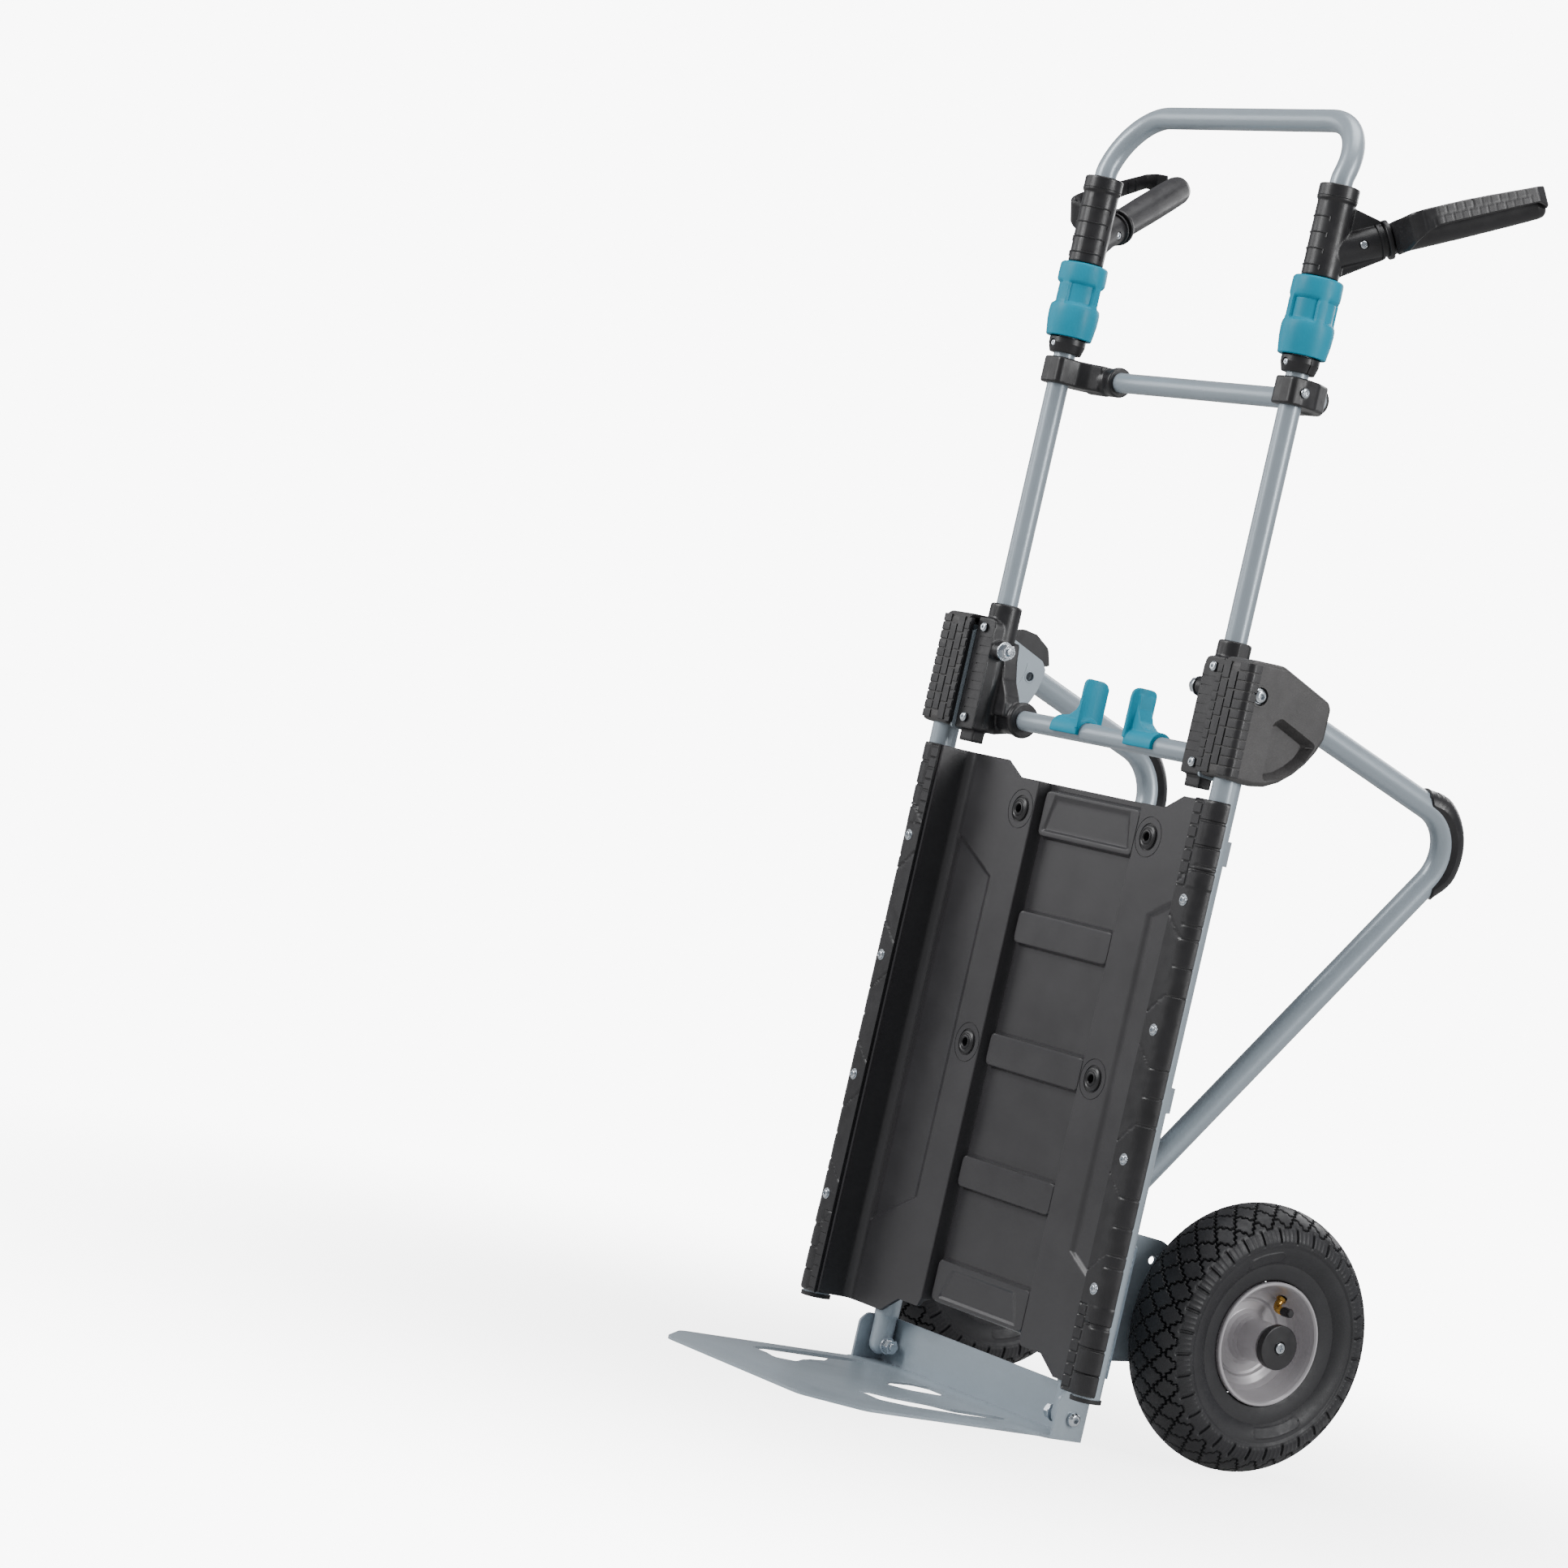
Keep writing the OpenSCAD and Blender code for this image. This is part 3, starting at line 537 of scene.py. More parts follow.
def floor_material():
    """A pale studio floor that brightens to the backdrop's white away from the object."""
    m = material("pale_floor", (0.84, 0.84, 0.84), 0.7, tint=0.01, tint_scale=2, grain=0.05,
                 grain_scale=200)
    tree = m.node_tree
    reach = node(tree, "VectorMath")
    reach.operation = "LENGTH"
    tree.links.new(object_place(m), reach.inputs[0])
    fade = node(tree, "MapRange", From_Min=0.1, From_Max=1.5, To_Min=0.45)
    fade.interpolation_type = "SMOOTHSTEP"
    tree.links.new(reach.outputs["Value"], fade.inputs["Value"])
    seen = node(tree, "LightPath").outputs["Is Camera Ray"]
    glow = mixed(tree, seen, *(node(tree, "Emission", Strength=s).outputs[0] for s in (BOUNCE, BACKDROP)))
    whole = mixed(tree, fade.outputs["Result"], tree.nodes["Principled BSDF"].outputs[0], glow)
    tree.links.new(whole, tree.nodes["Material Output"].inputs["Surface"])
    return m


FLOOR = floor_material()


def ease(t):
    """0 to 1 with soft ends, over numbers or arrays."""
    t = np.clip(t, 0, 1)
    return t * t * (3 - 2 * t)


def rise(t):
    """One eased number."""
    return float(ease(t))


def ticks(lo, hi, coarse, fine, zones):
    """Places from lo to hi, close together inside the zones."""
    out = [lo]
    while out[-1] < hi - 1e-6:
        near = [z for z in zones if z[0] - 1e-6 <= out[-1] < z[1] - 1e-6]
        nxt = out[-1] + (fine if near else coarse)
        ahead = [z[0] for z in zones if out[-1] + 1e-6 < z[0] < nxt]
        out.append(min([nxt, hi] + ahead))
    return out


# ------------------------------------------------------------------ screws, bolts and nuts
def socket_head(origin, z, r, h, hex_r, depth):
    """A round domed head with a hexagon socket; origin is on its seat."""
    dome = rounded([(0, 0), (r, 0), (r, 0.55 * h), (0.7 * r, h), (0, h)], [0, 0.2, 0.4 * r, 0.3 * r, 0])
    head = lathe(dome, n=40)
    cut(head, prism(circle(0, 0, hex_r, 6), h - depth, h + 1, "z"))
    return aim(bevel(head, 0.12, 1, 35), origin, z)


def cross_head(origin, z, r, h):
    """A flat countersunk head with a cross recess."""
    head = lathe(rounded([(0, 0), (r, 0), (r, h), (0, h)], [0, 0, 0.35 * h, 0], 4), n=40)
    for a in (0, pi / 2):
        c, s = cos(a), sin(a)
        w, l = 0.13 * r, 0.55 * r
        bar = [(l * c - w * s, l * s + w * c), (-l * c - w * s, -l * s + w * c),
               (-l * c + w * s, -l * s - w * c), (l * c + w * s, l * s - w * c)]
        cut(head, prism(bar, h * 0.4, h + 1, "z"))
    return aim(head, origin, z)


def washer(origin, z, r, hole, h):
    ring = rounded([(hole, 0), (r, 0), (r, h), (hole, h)], 0.3 * h, 2)
    return lathe(ring, origin, z, 40)


def hex_nut(origin, z, r, hole, h):
    """A chamfered hexagon nut with a plain bore."""
    nut = prism(circle(0, 0, r, 6), 0, h, "z")
    cap = [(0, 0), (0.93 * r, 0), (r * 1.02, 0.12 * h), (r * 1.02, 0.86 * h), (0.9 * r, h), (0, h)]
    boolean(nut, [lathe(rounded(cap, 0), n=48)], "INTERSECT")
    cut(nut, rod_z(0, 0, -1, h + 1, hole))
    return aim(bevel(nut, 0.25, 2, 35), origin, z)


def fasteners(name, body, *shapes, node=None):
    """Zinc-plated parts on both sides, as one piece."""
    piece(name + "_all", both(join(*shapes)), body, ZINC, [node or name])


def make_fasteners():
    y_front = -17.25
    heads = [socket_head((227, y_front + 0.9, z), -Y, 4.3, 2.6, 1.7, 1.4) for z in COVER_SCREW_Z]
    rings = [washer((227, y_front + 1.2, z), -Y, 5.6, 4.25, 0.7) for z in COVER_SCREW_Z]
    fasteners("cover_screws", "frame", *heads, *rings)
    heads = [socket_head((187, -11.2, HINGE_Z + z), -Y, 4.8, 2.4, 1.8, 1.3) for z in (20, -72)]
    fasteners("bracket_screws", "handle", *heads)
    head = socket_head((TUBE_X, TUBE_Y - 16.2, HINGE_Z + 314), -Y, 3.3, 1.5, 1.3, 0.9)
    fasteners("ring_screws", "handle", head, node="stop_ring_screws")
    disc = cross_head((262.9, AXLE_Y, TYRE_R), X, 5.2, 3)
    fasteners("hub_screws", "frame", disc, rod_x(240, 263, AXLE_Y, TYRE_R, 2.5, 16), node="hub_cap_screws")
    fasteners("hinge_bolts", "frame", washer((247.7, 0, HINGE_Z), X, 7.4, 4.1, 1.7),
              rod_x(147.6, 250, 0, HINGE_Z, 4, 24, 0.8),
              socket_head((249.3, 0, HINGE_Z), X, 6.4, 4.2, 3.0, 3.0))
    fasteners("hinge_nuts", "frame", hex_nut((157.9, 0, HINGE_Z), -X, 7.8, 4.1, 7.2),
              washer((159.8, 0, HINGE_Z), -X, 9.6, 4.2, 1.9))
    fasteners("toe_bolts", "frame", rod_x(131.6, 173, TOE_Y, TOE_Z, 4, 24, 0.8),
              socket_head((171.8, TOE_Y, TOE_Z), X, 7, 5.3, 3.1, 3.2))
    fasteners("toe_nuts", "frame", hex_nut((141, TOE_Y, TOE_Z), -X, 7.6, 4.1, 7.4),
              washer((142.8, TOE_Y, TOE_Z), -X, 8.8, 4.2, 1.6))
    rivet = lathe(rounded([(1.3, 0), (5, 0), (4.6, 1.6), (2.6, 2.3), (1.6, 1.2), (1.3, 1.2)], 0.5, 3),
                  (203.1, TUBE_Y, HIGH_BAR_Z), X, 36)
    fasteners("clamp_rivets", "handle", rivet, rod_x(192, 204.2, TUBE_Y, HIGH_BAR_Z, 2.9, 20))


# ------------------------------------------------------------------ rails, legs and steel parts
def make_rail_covers():
    """The ribbed plastic strip round the front of each side rail, with pads at its screws."""
    lo, hi, pitch = 54, 620.5, 11.5
    arc = [(230 + 15 * sin(t), -1 - 15 * cos(t)) for t in radians(0, 91, 14)]
    outer = [(x, -16) for x in (210.5, 211.2, 212.6, 214, 216, 218, 220, 221.6, 222.4, 225, 227.5)] + arc
    inner = [(230 + 12.1 * sin(t), -1 - 12.1 * cos(t)) for t in radians(91, 0, 7)]
    inner += [(222, -12.95), (210.5, -12.95)]
    path = np.array(outer)
    run = np.concatenate([[0], np.cumsum(np.linalg.norm(np.diff(path, axis=0), axis=1))])
    out = np.array([(0, -1)] * 11 + [(sin(t), -cos(t)) for t in radians(0, 91, 14)])
    rows = []
    for z in np.arange(lo, hi + 0.1, 1.2):
        end = min(z - lo, hi - z)
        dip = np.zeros(len(path))
        if 2 < end < 84:
            flat = (end - 2) % pitch < 1.7
            side = (end - 2 + pitch / 2) % (2 * pitch) < 2.3
            dip[(run > 1.0) & (run < 11.4)] = -1.0 if flat else 0.0
            dip[run > 13] = -0.9 if side else 0.35
            dip[(run >= 11.4) & (run <= 12.2)] = -0.7
        for s in COVER_SCREW_Z:
            edge = 15 + 0.9 * np.minimum(run, 22) - abs(z - s)
            dip += np.where(abs(edge) < 0.8, -0.65, np.where(edge > 0, 0.25, 0.0)) * (run > 0.5)
        for s in (92 + 84, 214.5, 338, 462, 586 - 84):
            dip += np.where((abs(z - s) < 0.9) & (run > 22), -0.7, 0.0)
        if end < 1:
            dip -= 0.8
        pts = path + dip[:, None] * out
        rows.append([(x, y, z) for x, y in pts] + [(x, y, z) for x, y in inner])
    cover = skin(rows)
    pair("rail_cover", cover, "frame", BLACK, "{}_rail_cover", 28)


def make_legs():
    """Each support leg: one bent tube with a crimped lower end."""
    low, steps = Vector((LEG_X, TOE_Y, TOE_Z)), np.radians([82, 65, 45, 22])
    line = [low - Vector((0, 0, LEG_END_R * sin(t))) for t in steps]
    line += [low] + [Vector((LEG_X, LEG_Y, z)) for z in (46.5, 50, 51)]
    line += bent([(LEG_X, LEG_Y, 60), LEG_KNEE, LEG_FOOT, LEG_TOP], [60, 48])
    radius = [LEG_END_R * cos(t) for t in steps] + [LEG_END_R] * 2
    radius += [LEG_R] * (len(line) - len(radius))
    pair("leg_tube", sweep(line, radius, 48), "frame", PAINT, "{}_leg", 40)


def make_foot_covers():
    """The ribbed cover round the rear corner of each leg."""
    knee, foot, top = Vector(LEG_KNEE), Vector(LEG_FOOT), Vector(LEG_TOP)
    bend = bent([knee, foot, top], [48])[1:-1]
    inward = ((bend[0] + bend[-1]) / 2 - foot).normalized()
    bend = [bend[0] + 9 * (knee - foot).normalized(), *bend, bend[-1] + 9 * (top - foot).normalized()]
    fine = refined(bend, lambda length: max(2, round(length / 0.7)))
    across = (fine[-1] - fine[0]).cross(inward).normalized()
    run = distances(fine)
    rows = []
    for i, p in enumerate(fine):
        gone, left = run[i], run[-1] - run[i]
        out = across.cross(heading(fine, i)).normalized()
        if out.dot(inward) > 0:
            out = -out
        end = rise(min(gone, left) / 26)
        wide = 52 + 30 * rise(min(gone, left) / 7)
        rib = -0.5 if 9 < gone < run[-1] - 9 and gone % 8.0 < 1.3 else 0.0
        ring = []
        for t in radians(-wide, wide, 25):
            crest = abs(math.degrees(t)) < 40
            r = 14.2 + end * 2.6 + (rib if crest else 0.0)
            ring.append(p + (1.0 + 3.2 * end) * out + r * (cos(t) * out + sin(t) * across))
        for t in radians(wide, -wide, 15):
            ring.append(p + 12.55 * (cos(t) * out + sin(t) * across))
        rows.append(ring)
    cover = skin(rows)
    piece("foot_covers_all", both(cover), "frame", BLACK, ["foot_covers"], 28)


def make_axle_brackets():
    """Each pressed bracket: an oblique wing from the rail and a flat cheek with two embossed ribs."""
    cheek = [(52, 206), (100, 202), (200, 158), (206, 148), (206, 112), (200, 104), (100, 84), (52, 79)]
    cheek = rounded(cheek, [0, 20, 8, 6, 6, 8, 30, 0])
    plate = prism(cheek, 165, 168, "x")
    wing = prism([(232, 15.3), (235, 17), (168, 57), (165, 55.3)], 71, 203, "z")
    outline = rounded([(5, 196), (60, 206), (60, 79), (5, 70)], [14, 0, 0, 14])
    boolean(wing, [prism(outline, 100, 260, "x")], "INTERSECT")
    plate = fuse(plate, wing)
    ribs = [rounded([(84, 186), (92, 190), (178, 152), (184, 142), (168, 144)], 4, 4),
            rounded([(84, 99), (92, 95), (176, 112), (182, 121), (166, 119)], 4, 4)]
    for r in ribs:
        cy, cz = (sum(c) / len(r) for c in zip(*r))
        small = [(cy + 0.8 * (a - cy), cz + 0.7 * (b - cz)) for a, b in r]
        plate = fuse(plate, prism(r, 167.5, 170.4, "x", small))
    plate = cut(plate, rod_x(160, 175, 92, 182, 4), rod_x(160, 175, 130, 130, 9),
                rod_x(160, 175, AXLE_Y, TYRE_R, 7.6))
    plate = bevel(plate, 0.5)
    beads = []
    for z0, z1 in ((78, 104), (172, 198)):
        line = [(231.5, 15.6 + 0.25 * sin(k * 1.7), z0 + (z1 - z0) * k / 13) for k in range(14)]
        radius = [1.2] + [1.9 + 0.35 * sin(2.4 * k) for k in range(12)] + [1.0]
        beads.append(sweep(line, radius, 10))
    pair("axle_bracket_pressed", join(plate, *beads), "frame", PAINT, "{}_axle_bracket", 30)


def make_straps():
    """The two joggled steel straps behind the deck, screwed to its grommets and welded behind the rails."""
    right = [(229, 15.2), (229, 17.4), (217, 18.2), (217, 29), (206, 43)]
    inner = [(214, 15.2), (214, 28), (204.5, 40)]
    outline = [(-x, y) for x, y in right] + right[::-1] + inner + [(-x, y) for x, y in inner[::-1]]
    outline = rounded(outline, [0, 0, 2, 6, 7, 7, 6, 2, 0, 0, 0.5, 4, 4, 4, 4, 0.5], 4)
    straps, heads = [], []
    for z in STRAP_Z:
        strap = prism(outline, z - 12, z + 12, "z")
        for x in (-STRAP_X, STRAP_X):
            cut(strap, rod((x, 30, z), (x, 50, z), 4.2, 32))
            heads.append(lathe([(4.3, 0), (8, 0), (8, 1), (6.4, 1.8), (4.3, 1.8)], (x, 43, z), Y, 40))
        straps.append(bevel(strap, 0.4))
    piece("deck_straps_pressed", join(*straps, *heads), "frame", PAINT, ["cross_straps"], 30)


def lift(points):
    """Outline points given from the hinge axis."""
    return [(a, b + HINGE_Z) for a, b in points]


def make_hinge_plates():
    arc = [(86 * cos(t), 86 * sin(t)) for t in radians(-4, -55, 12)]
    outline = [(-13, -84), (-13, 14), (4, 24), (24, 22), (80, 2)] + arc + [(30, -80.5), (8, -85.6)]
    plate = prism(lift(rounded(outline, [3, 4, 6, 8, 6] + [0] * 12 + [5, 3], 4)), 201.5, 204.5, "x")
    holes = [rod_x(195, 210, y, HINGE_Z + z, r, 32)
             for y, z, r in ((0, 0, 4.1), (31, -63, 4.6), (68.2, -16.5, 4.6))]
    plate = cut(plate, *holes)
    groove = [(62.4 * cos(t), 62.4 * sin(t)) for t in radians(-3, -75, 26)]
    back = [(61.4 * a / 62.4, 61.4 * b / 62.4) for a, b in reversed(groove)]
    plate = cut(plate, prism(lift(groove + back), 201, 201.9, "x"))
    bead = [(4.7, -0.05), (6.6, -0.05), (6.0, 0.35), (4.9, 0.35)]
    bosses = [lathe(bead, (201.5, y, HINGE_Z + z), -X, 32) for y, z in ((31, -63), (68.2, -16.5))]
    plate = join(bevel(plate, 0.35), *bosses)
    pair("hinge_plate_pressed", plate, "frame", PAINT, "{}_hinge_plate", 30)
    line = [(26, 22), (52, 29), (68, 27), (86, 16), (92, -1), (86, -3), (79, 3)]
    cap = prism(lift(rounded(line, [1, 8, 6, 8, 2, 1, 2])), 204.7, 208.7, "x")
    piece("plate_caps_all", both(bevel(cap, 0.9, 3)), "frame", BLACK, ["plate_caps"])


def make_toe_plate():
    """The folding blade: a pressed sheet with slots, its rear web and two rounded ears."""
    fx, thick = LEG_X + LEG_R + 0.5, 3
    half = [(117, -240), (165.5, -194), (165.5, 8), (fx + thick, 16), (fx + thick, TOE_Y + 16)]
    blade = prism(rounded(two_sided(half), [26, 22, 4, 4, 1, 1, 4, 4, 22, 26], 6), 0, thick, "z")
    inner = rounded(two_sided([(106, -216), (140, -184), (140, 20)]), 16)
    tray = rounded(two_sided([(96, -204), (130, -178), (130, 12)]), 16)
    blade = fuse(blade, prism(inner, 2.9, 5.0, "z", tray))
    blade = cut(blade, prism(inner, -0.1, 2.2, "z", tray))
    hollow = two_sided([(60, -196), (88, -170), (88, -96), (60, -60), (60, 4)])
    bowl = two_sided([(52, -186), (78, -164), (78, -98), (50, -66), (50, -4)])
    blade = cut(blade, prism(rounded(bowl, 10), 4.0, 5.2, "z", rounded(hollow, 10)))
    edge = ((70, -141), (64, -122), (80, -104), (90, -70), (108, -54), (112, -8), (120, 3), (129, -10),
            (131, -60), (125, -118), (112, -144))
    tools = []
    for s in (-1, 1):
        slot = rounded([(s * x, y) for x, y in edge], [4, 8, 14, 16, 12, 8, 4, 8, 16, 16, 10])
        tools.append(prism(slot, -1, 7, "z"))
    diamond = [(-24, -10), (-14, 4), (14, 4), (24, -10), (18, -40), (0, -58), (-18, -40)]
    tools.append(prism(rounded(diamond, [6, 6, 6, 6, 10, 5, 10], 4), -1, 7, "z"))
    blade = cut(blade, *tools)
    web = box((-fx - thick, TOE_Y + 13, 0), (fx + thick, TOE_Y + 16, 48))
    panel = [(-118, 12), (118, 12), (108, 38), (-108, 38)]
    foot = [(-124, 8), (124, 8), (114, 42), (-114, 42)]
    web = fuse(web, prism(rounded(panel, 6, 4), TOE_Y + 11.4, TOE_Y + 13.4, "y", rounded(foot, 6, 4)))
    ear = rounded([(18, 0), (TOE_Y + 16, 0), (TOE_Y + 16, 48), (26, 48), (18, 40)], [3, 1, 3, 8, 8], 6)
    blade = fuse(blade, web, prism(ear, fx, fx + thick, "x"), prism(ear, -fx - thick, -fx, "x"))
    blade = cut(blade, *(rod_x(x, x + 40, TOE_Y, TOE_Z, 4.1) for x in (-190, 150)))
    piece("toe_blade_pressed", bevel(blade, 0.8, 3), "toe", PAINT, ["toe_plate"], 32)


def inset(outline, d):
    """The outline moved inwards by d, corner by corner."""
    p = np.array(outline, float)
    nxt = np.roll(p, -1, 0)
    if np.sum(p[:, 0] * nxt[:, 1] - p[:, 1] * nxt[:, 0]) < 0:
        p = p[::-1]
    n = np.roll(p, -1, 0) - p
    n = np.stack([-n[:, 1], n[:, 0]], 1) / np.linalg.norm(n, axis=1)[:, None]
    m = n + np.roll(n, 1, 0)
    m /= np.maximum(np.sum(m * m, 1), 0.8)[:, None] / 2
    return p + d * m


def pillow(outline, lo, hi, axis, r_lo, r_hi, n=5):
    """A prism whose edges at lo and hi are rounded; outline corners are rounder than those edges."""
    rows = []
    for r, base, way in ((r_lo, lo, 1), (r_hi, hi, -1)):
        steps = [pi / 2 * k / n for k in range(n + 1)]
        for t in steps if way > 0 else reversed(steps):
            ring = inset(outline, r * (1 - sin(t)))
            rows.append([PLACE[axis](p, base + way * r * (1 - cos(t))) for p in ring])
    return skin(rows)


# ------------------------------------------------------------------ deck
PADS = ((575.5, 50), (461, 37), (337, 37), (213.5, 36), (103, 46))
PAD_HALF, PAD_ROUND, PAD_DEEP, CHEVRON_DEEP = 79, 8, 7.5, 2.8


def deck_front(x, z):
    """Depth of the deck's front surface at x across and z up (x inside the side walls)."""
    ax = np.abs(x)
    y = 36 - 13.5 * ease((ax - 80) / 4.5)
    for zc, h in PADS:
        dx, dz = ax - (PAD_HALF - PAD_ROUND), np.abs(z - zc) - (h / 2 - PAD_ROUND)
        gap = np.hypot(np.maximum(dx, 0), np.maximum(dz, 0)) + np.minimum(np.maximum(dx, dz), 0)
        y = y - PAD_DEEP * ease(-(gap - PAD_ROUND) / 3.2) * (ax < 80)
    top = np.minimum(66 - ax - 0.25 * (z - 575.5), 18.5 - np.abs(z - 576))
    y = y + 1.6 * ease(top / 3)
    low = np.minimum.reduce([118 - z, z - 86, 66 - ax - 0.42 * (z - 86)])
    y = y + 1.4 * ease(low / 3)
    slant = np.maximum(z - 502, 0) * 48 / 25 + np.maximum(174 - z, 0) * 48 / 26
    return y + CHEVRON_DEEP * ease((ax - 128 - slant) / 8) * ease((204 - ax) / 4)


def front(x, z):
    """deck_front at one place."""
    return float(deck_front(np.float64(x), z))


def make_deck():
    """The moulded deck: a channel with raised pads between two wings with sunk chevrons."""
    inner = ticks(0, 196, 2.4, 0.9, ((62, 68), (74, 86), (127, 138), (192, 196)))
    xs = [-x for x in reversed(inner[1:])] + inner
    edges = [z + s * h / 2 + o for z, h in PADS for s, o in ((-1, -1), (1, -5))]
    zones = [(e, e + 6) for e in edges]
    zones = sorted(zones + [(84, 92), (113, 119), (144, 176), (500, 528), (555, 561)])
    zs = ticks(55, 620, 2.6, 1.0, zones)
    turn = [math.radians(a) for a in range(8, 91, 9)]
    wall = [(196 + 9.2 * sin(t), 13.3 + 9.2 * cos(t)) for t in turn]
    wall += [(205.9, 6), (206.6, 0), (207.3, -6), (207.9, -12), (208.5, -12.7)]
    back_wall = [(211, -12.7), (211, 10), (210, 20), (205, 26.4)]
    shell = [196, 130, 92, 88, 85.5, 83.5, 81, 76, 70, 60, 0]
    shell += [-x for x in reversed(shell[:-1])]
    rows = []
    for z in zs:
        ring = [(-x, y) for x, y in reversed(wall)]
        ring += [(x, front(x, z)) for x in xs] + wall + back_wall
        ring += [(x, deck_back(x, z)) for x in shell]
        ring += [(-x, y) for x, y in reversed(back_wall)]
        rows.append([(x, y, z) for x, y in ring])
    deck = skin(rows)
    top = [(-150, 623), (-119, 605.5), (119, 605.5), (150, 623), (150, 640), (-150, 640)]
    top = rounded(top, [0, 6, 6, 0, 0, 0])
    low = [(-152, 52), (-121, 72), (-88, 72), (-84, 81), (84, 81), (88, 72), (121, 72), (152, 52),
           (152, 30), (-152, 30)]
    low = rounded(low, [0, 5, 3, 2, 2, 3, 5, 0, 0, 0])
    tools = [prism(top, 0, 60, "y"), prism(low, 0, 60, "y")]
    screws = [(x, z) for x in (-STRAP_X, STRAP_X) for z in STRAP_Z]
    tools += [rod((x, 0, z), (x, 50, z), 6) for x, z in screws]
    boolean(deck, [join(*tools)], "DIFFERENCE", "EXACT")
    rings = []
    for x, z in screws:
        rings.append(lathe([(19.2, 0), (19.9, 0), (19.9, -1), (19.2, -1)], (x, 22.3, z), -Y, 64))
        rings.append(lathe([(12.4, 0), (13.6, 0), (13.6, -1.2), (12.4, -1.2)], (x, 22.2, z), -Y, 64))
    boolean(deck, [join(*rings)], "DIFFERENCE", "EXACT")
    piece("deck_moulding", deck, "frame", DECK, ["deck_panel"], 24)
    ring = [(4.3, -16), (5.9, -16), (5.9, 0.2), (11.6, 0.2), (11.8, 0.9), (10.6, 1.9), (9.2, 2.2),
            (8.2, 1.6), (7.4, 1.9), (6.6, 3.0), (5.4, 3.2), (4.4, 2.4)]
    grommets = [lathe(ring, (x, front(STRAP_X, z), z), -Y, 56) for x, z in screws]
    piece("deck_grommet_rings", join(*grommets), "frame", BLACK, ["deck_grommets"], 30)


def deck_back(x, z):
    """The deck's rear surface, its wall behind the front one."""
    ax = abs(x)
    y = 39 - 12.6 * rise((ax - 82) / 4.5)
    for zc, h in PADS:
        gap = max(ax - 74, abs(z - zc) - (h / 2 - 3.5))
        y -= 6 * rise(-gap / 5)
    return y


# ------------------------------------------------------------------ hinge housings and brackets
def make_housings():
    """The moulded shell over each rail's upper end: tread blocks in front, a quarter pocket outside."""
    out = [(-18, -82), (-18, 26), (-12, 32), (23, 33), (84, 11), (88, 5), (88, -24), (82, -38), (72, -52),
           (60, -64), (46, -74), (30, -81), (14, -83.5)]
    out = rounded(out, [7, 8, 8, 14, 7, 7, 9, 12, 12, 12, 12, 12, 9])
    shell = pillow(lift(out), 209, 251, "x", 1.2, 5.2, 6)
    into = [(-14.2, -78.5), (-14.2, 25), (-10.5, 28.5), (22.5, 29.5), (81.5, 8), (84.5, 3.5), (84.5, -23),
            (78.8, -36.3), (69.4, -49.4), (58, -61), (44.5, -70.7), (29.4, -77.6), (14, -80)]
    wall = [(21, -23), (29, -14.5), (78, -32), (69, -49), (57, -62), (43, -71), (21, -77)]
    hollow = prism(lift(into), 200, 247.4, "x")
    hollow = cut(hollow, prism(lift(wall), 237.6, 260, "x"))
    high = [(21.5, -20.5), (30, -13.5), (79.5, -31), (69.5, -50), (56.5, -63), (42.5, -71.5), (22.5, -77.5)]
    high = rounded(high, [6, 6, 5, 6, 6, 6, 6])
    low = [(26, -26.5), (33.5, -22), (69.5, -35), (63, -47.5), (53, -57.5), (42, -65), (25.5, -71)]
    low = rounded(low, [5, 5, 4, 6, 6, 6, 5])
    pocket = prism(lift(low), 240.6, 252.4, "x", lift(high))
    tube = Vector(LEG_TOP)
    leg = tube - Vector(LEG_FOOT)
    tools = [hollow, pocket, box((217.9, -13.1, HINGE_Z - 100), (242.1, 15.1, HINGE_Z - 60)),
             rod(tube - 0.4 * leg, tube, 12.7), rod_x(246.4, 253, 0, HINGE_Z, 8.6),
             rod_x(205, 253, 0, HINGE_Z, 4.2)]
    cut_each(shell, *tools)
    ring = lathe([(8.6, 250.4), (10.8, 250.4), (10.4, 251.4), (8.6, 251.4)], (0, 0, HINGE_Z), X, 48)
    rib = rod(Vector((246.4, 68.6, HINGE_Z - 36)), Vector((251.2, 80.5, HINGE_Z - 34)), 0.7, 10)
    shell = join(shell, ring, rib)
    blocks = [box((201.9, -17.9, HINGE_Z - 80), (211, -13.5, HINGE_Z + 27))]

    def corner(z0, z1):
        arc = [(245.6 + 6.3 * sin(t), -12.6 - 6.5 * cos(t)) for t in radians(0, 90, 8)]
        back = [(245.6 + 4.2 * sin(t), -12.6 - 4.3 * cos(t)) for t in radians(90, 0, 8)]
        line = [(235, -19.1)] + arc + [(251.9, -5.5), (249.8, -5.0)] + back + [(235, -16.9)]
        return prism(line, z0, z1, "z")

    for k in range(12):
        z0 = HINGE_Z - 79 + 9 * k
        blocks.append(corner(z0, z0 + 7.7))
        if k < 11:
            blocks.append(box((202.5, -18.9, z0 + 4), (210, -16.6, z0 + 11.6)))
    for k in range(6):
        z0 = HINGE_Z - 79 + 18 * k
        blocks.append(box((211.4, -19.2, z0), (221.8, -16.6, z0 + 16.5)))
        if k < 5:
            blocks.append(box((223.4, -19.3, z0 + 9), (233.4, -16.6, z0 + 25.5)))
    tread = bevel(join(*blocks), 0.35)
    pair("hinge_housing_tread", tread, "frame", BLACK, "{}_hinge_housing", 30)
    pair("hinge_housing_shell", shell, "frame", GRAIN, "{}_hinge_housing", 32)


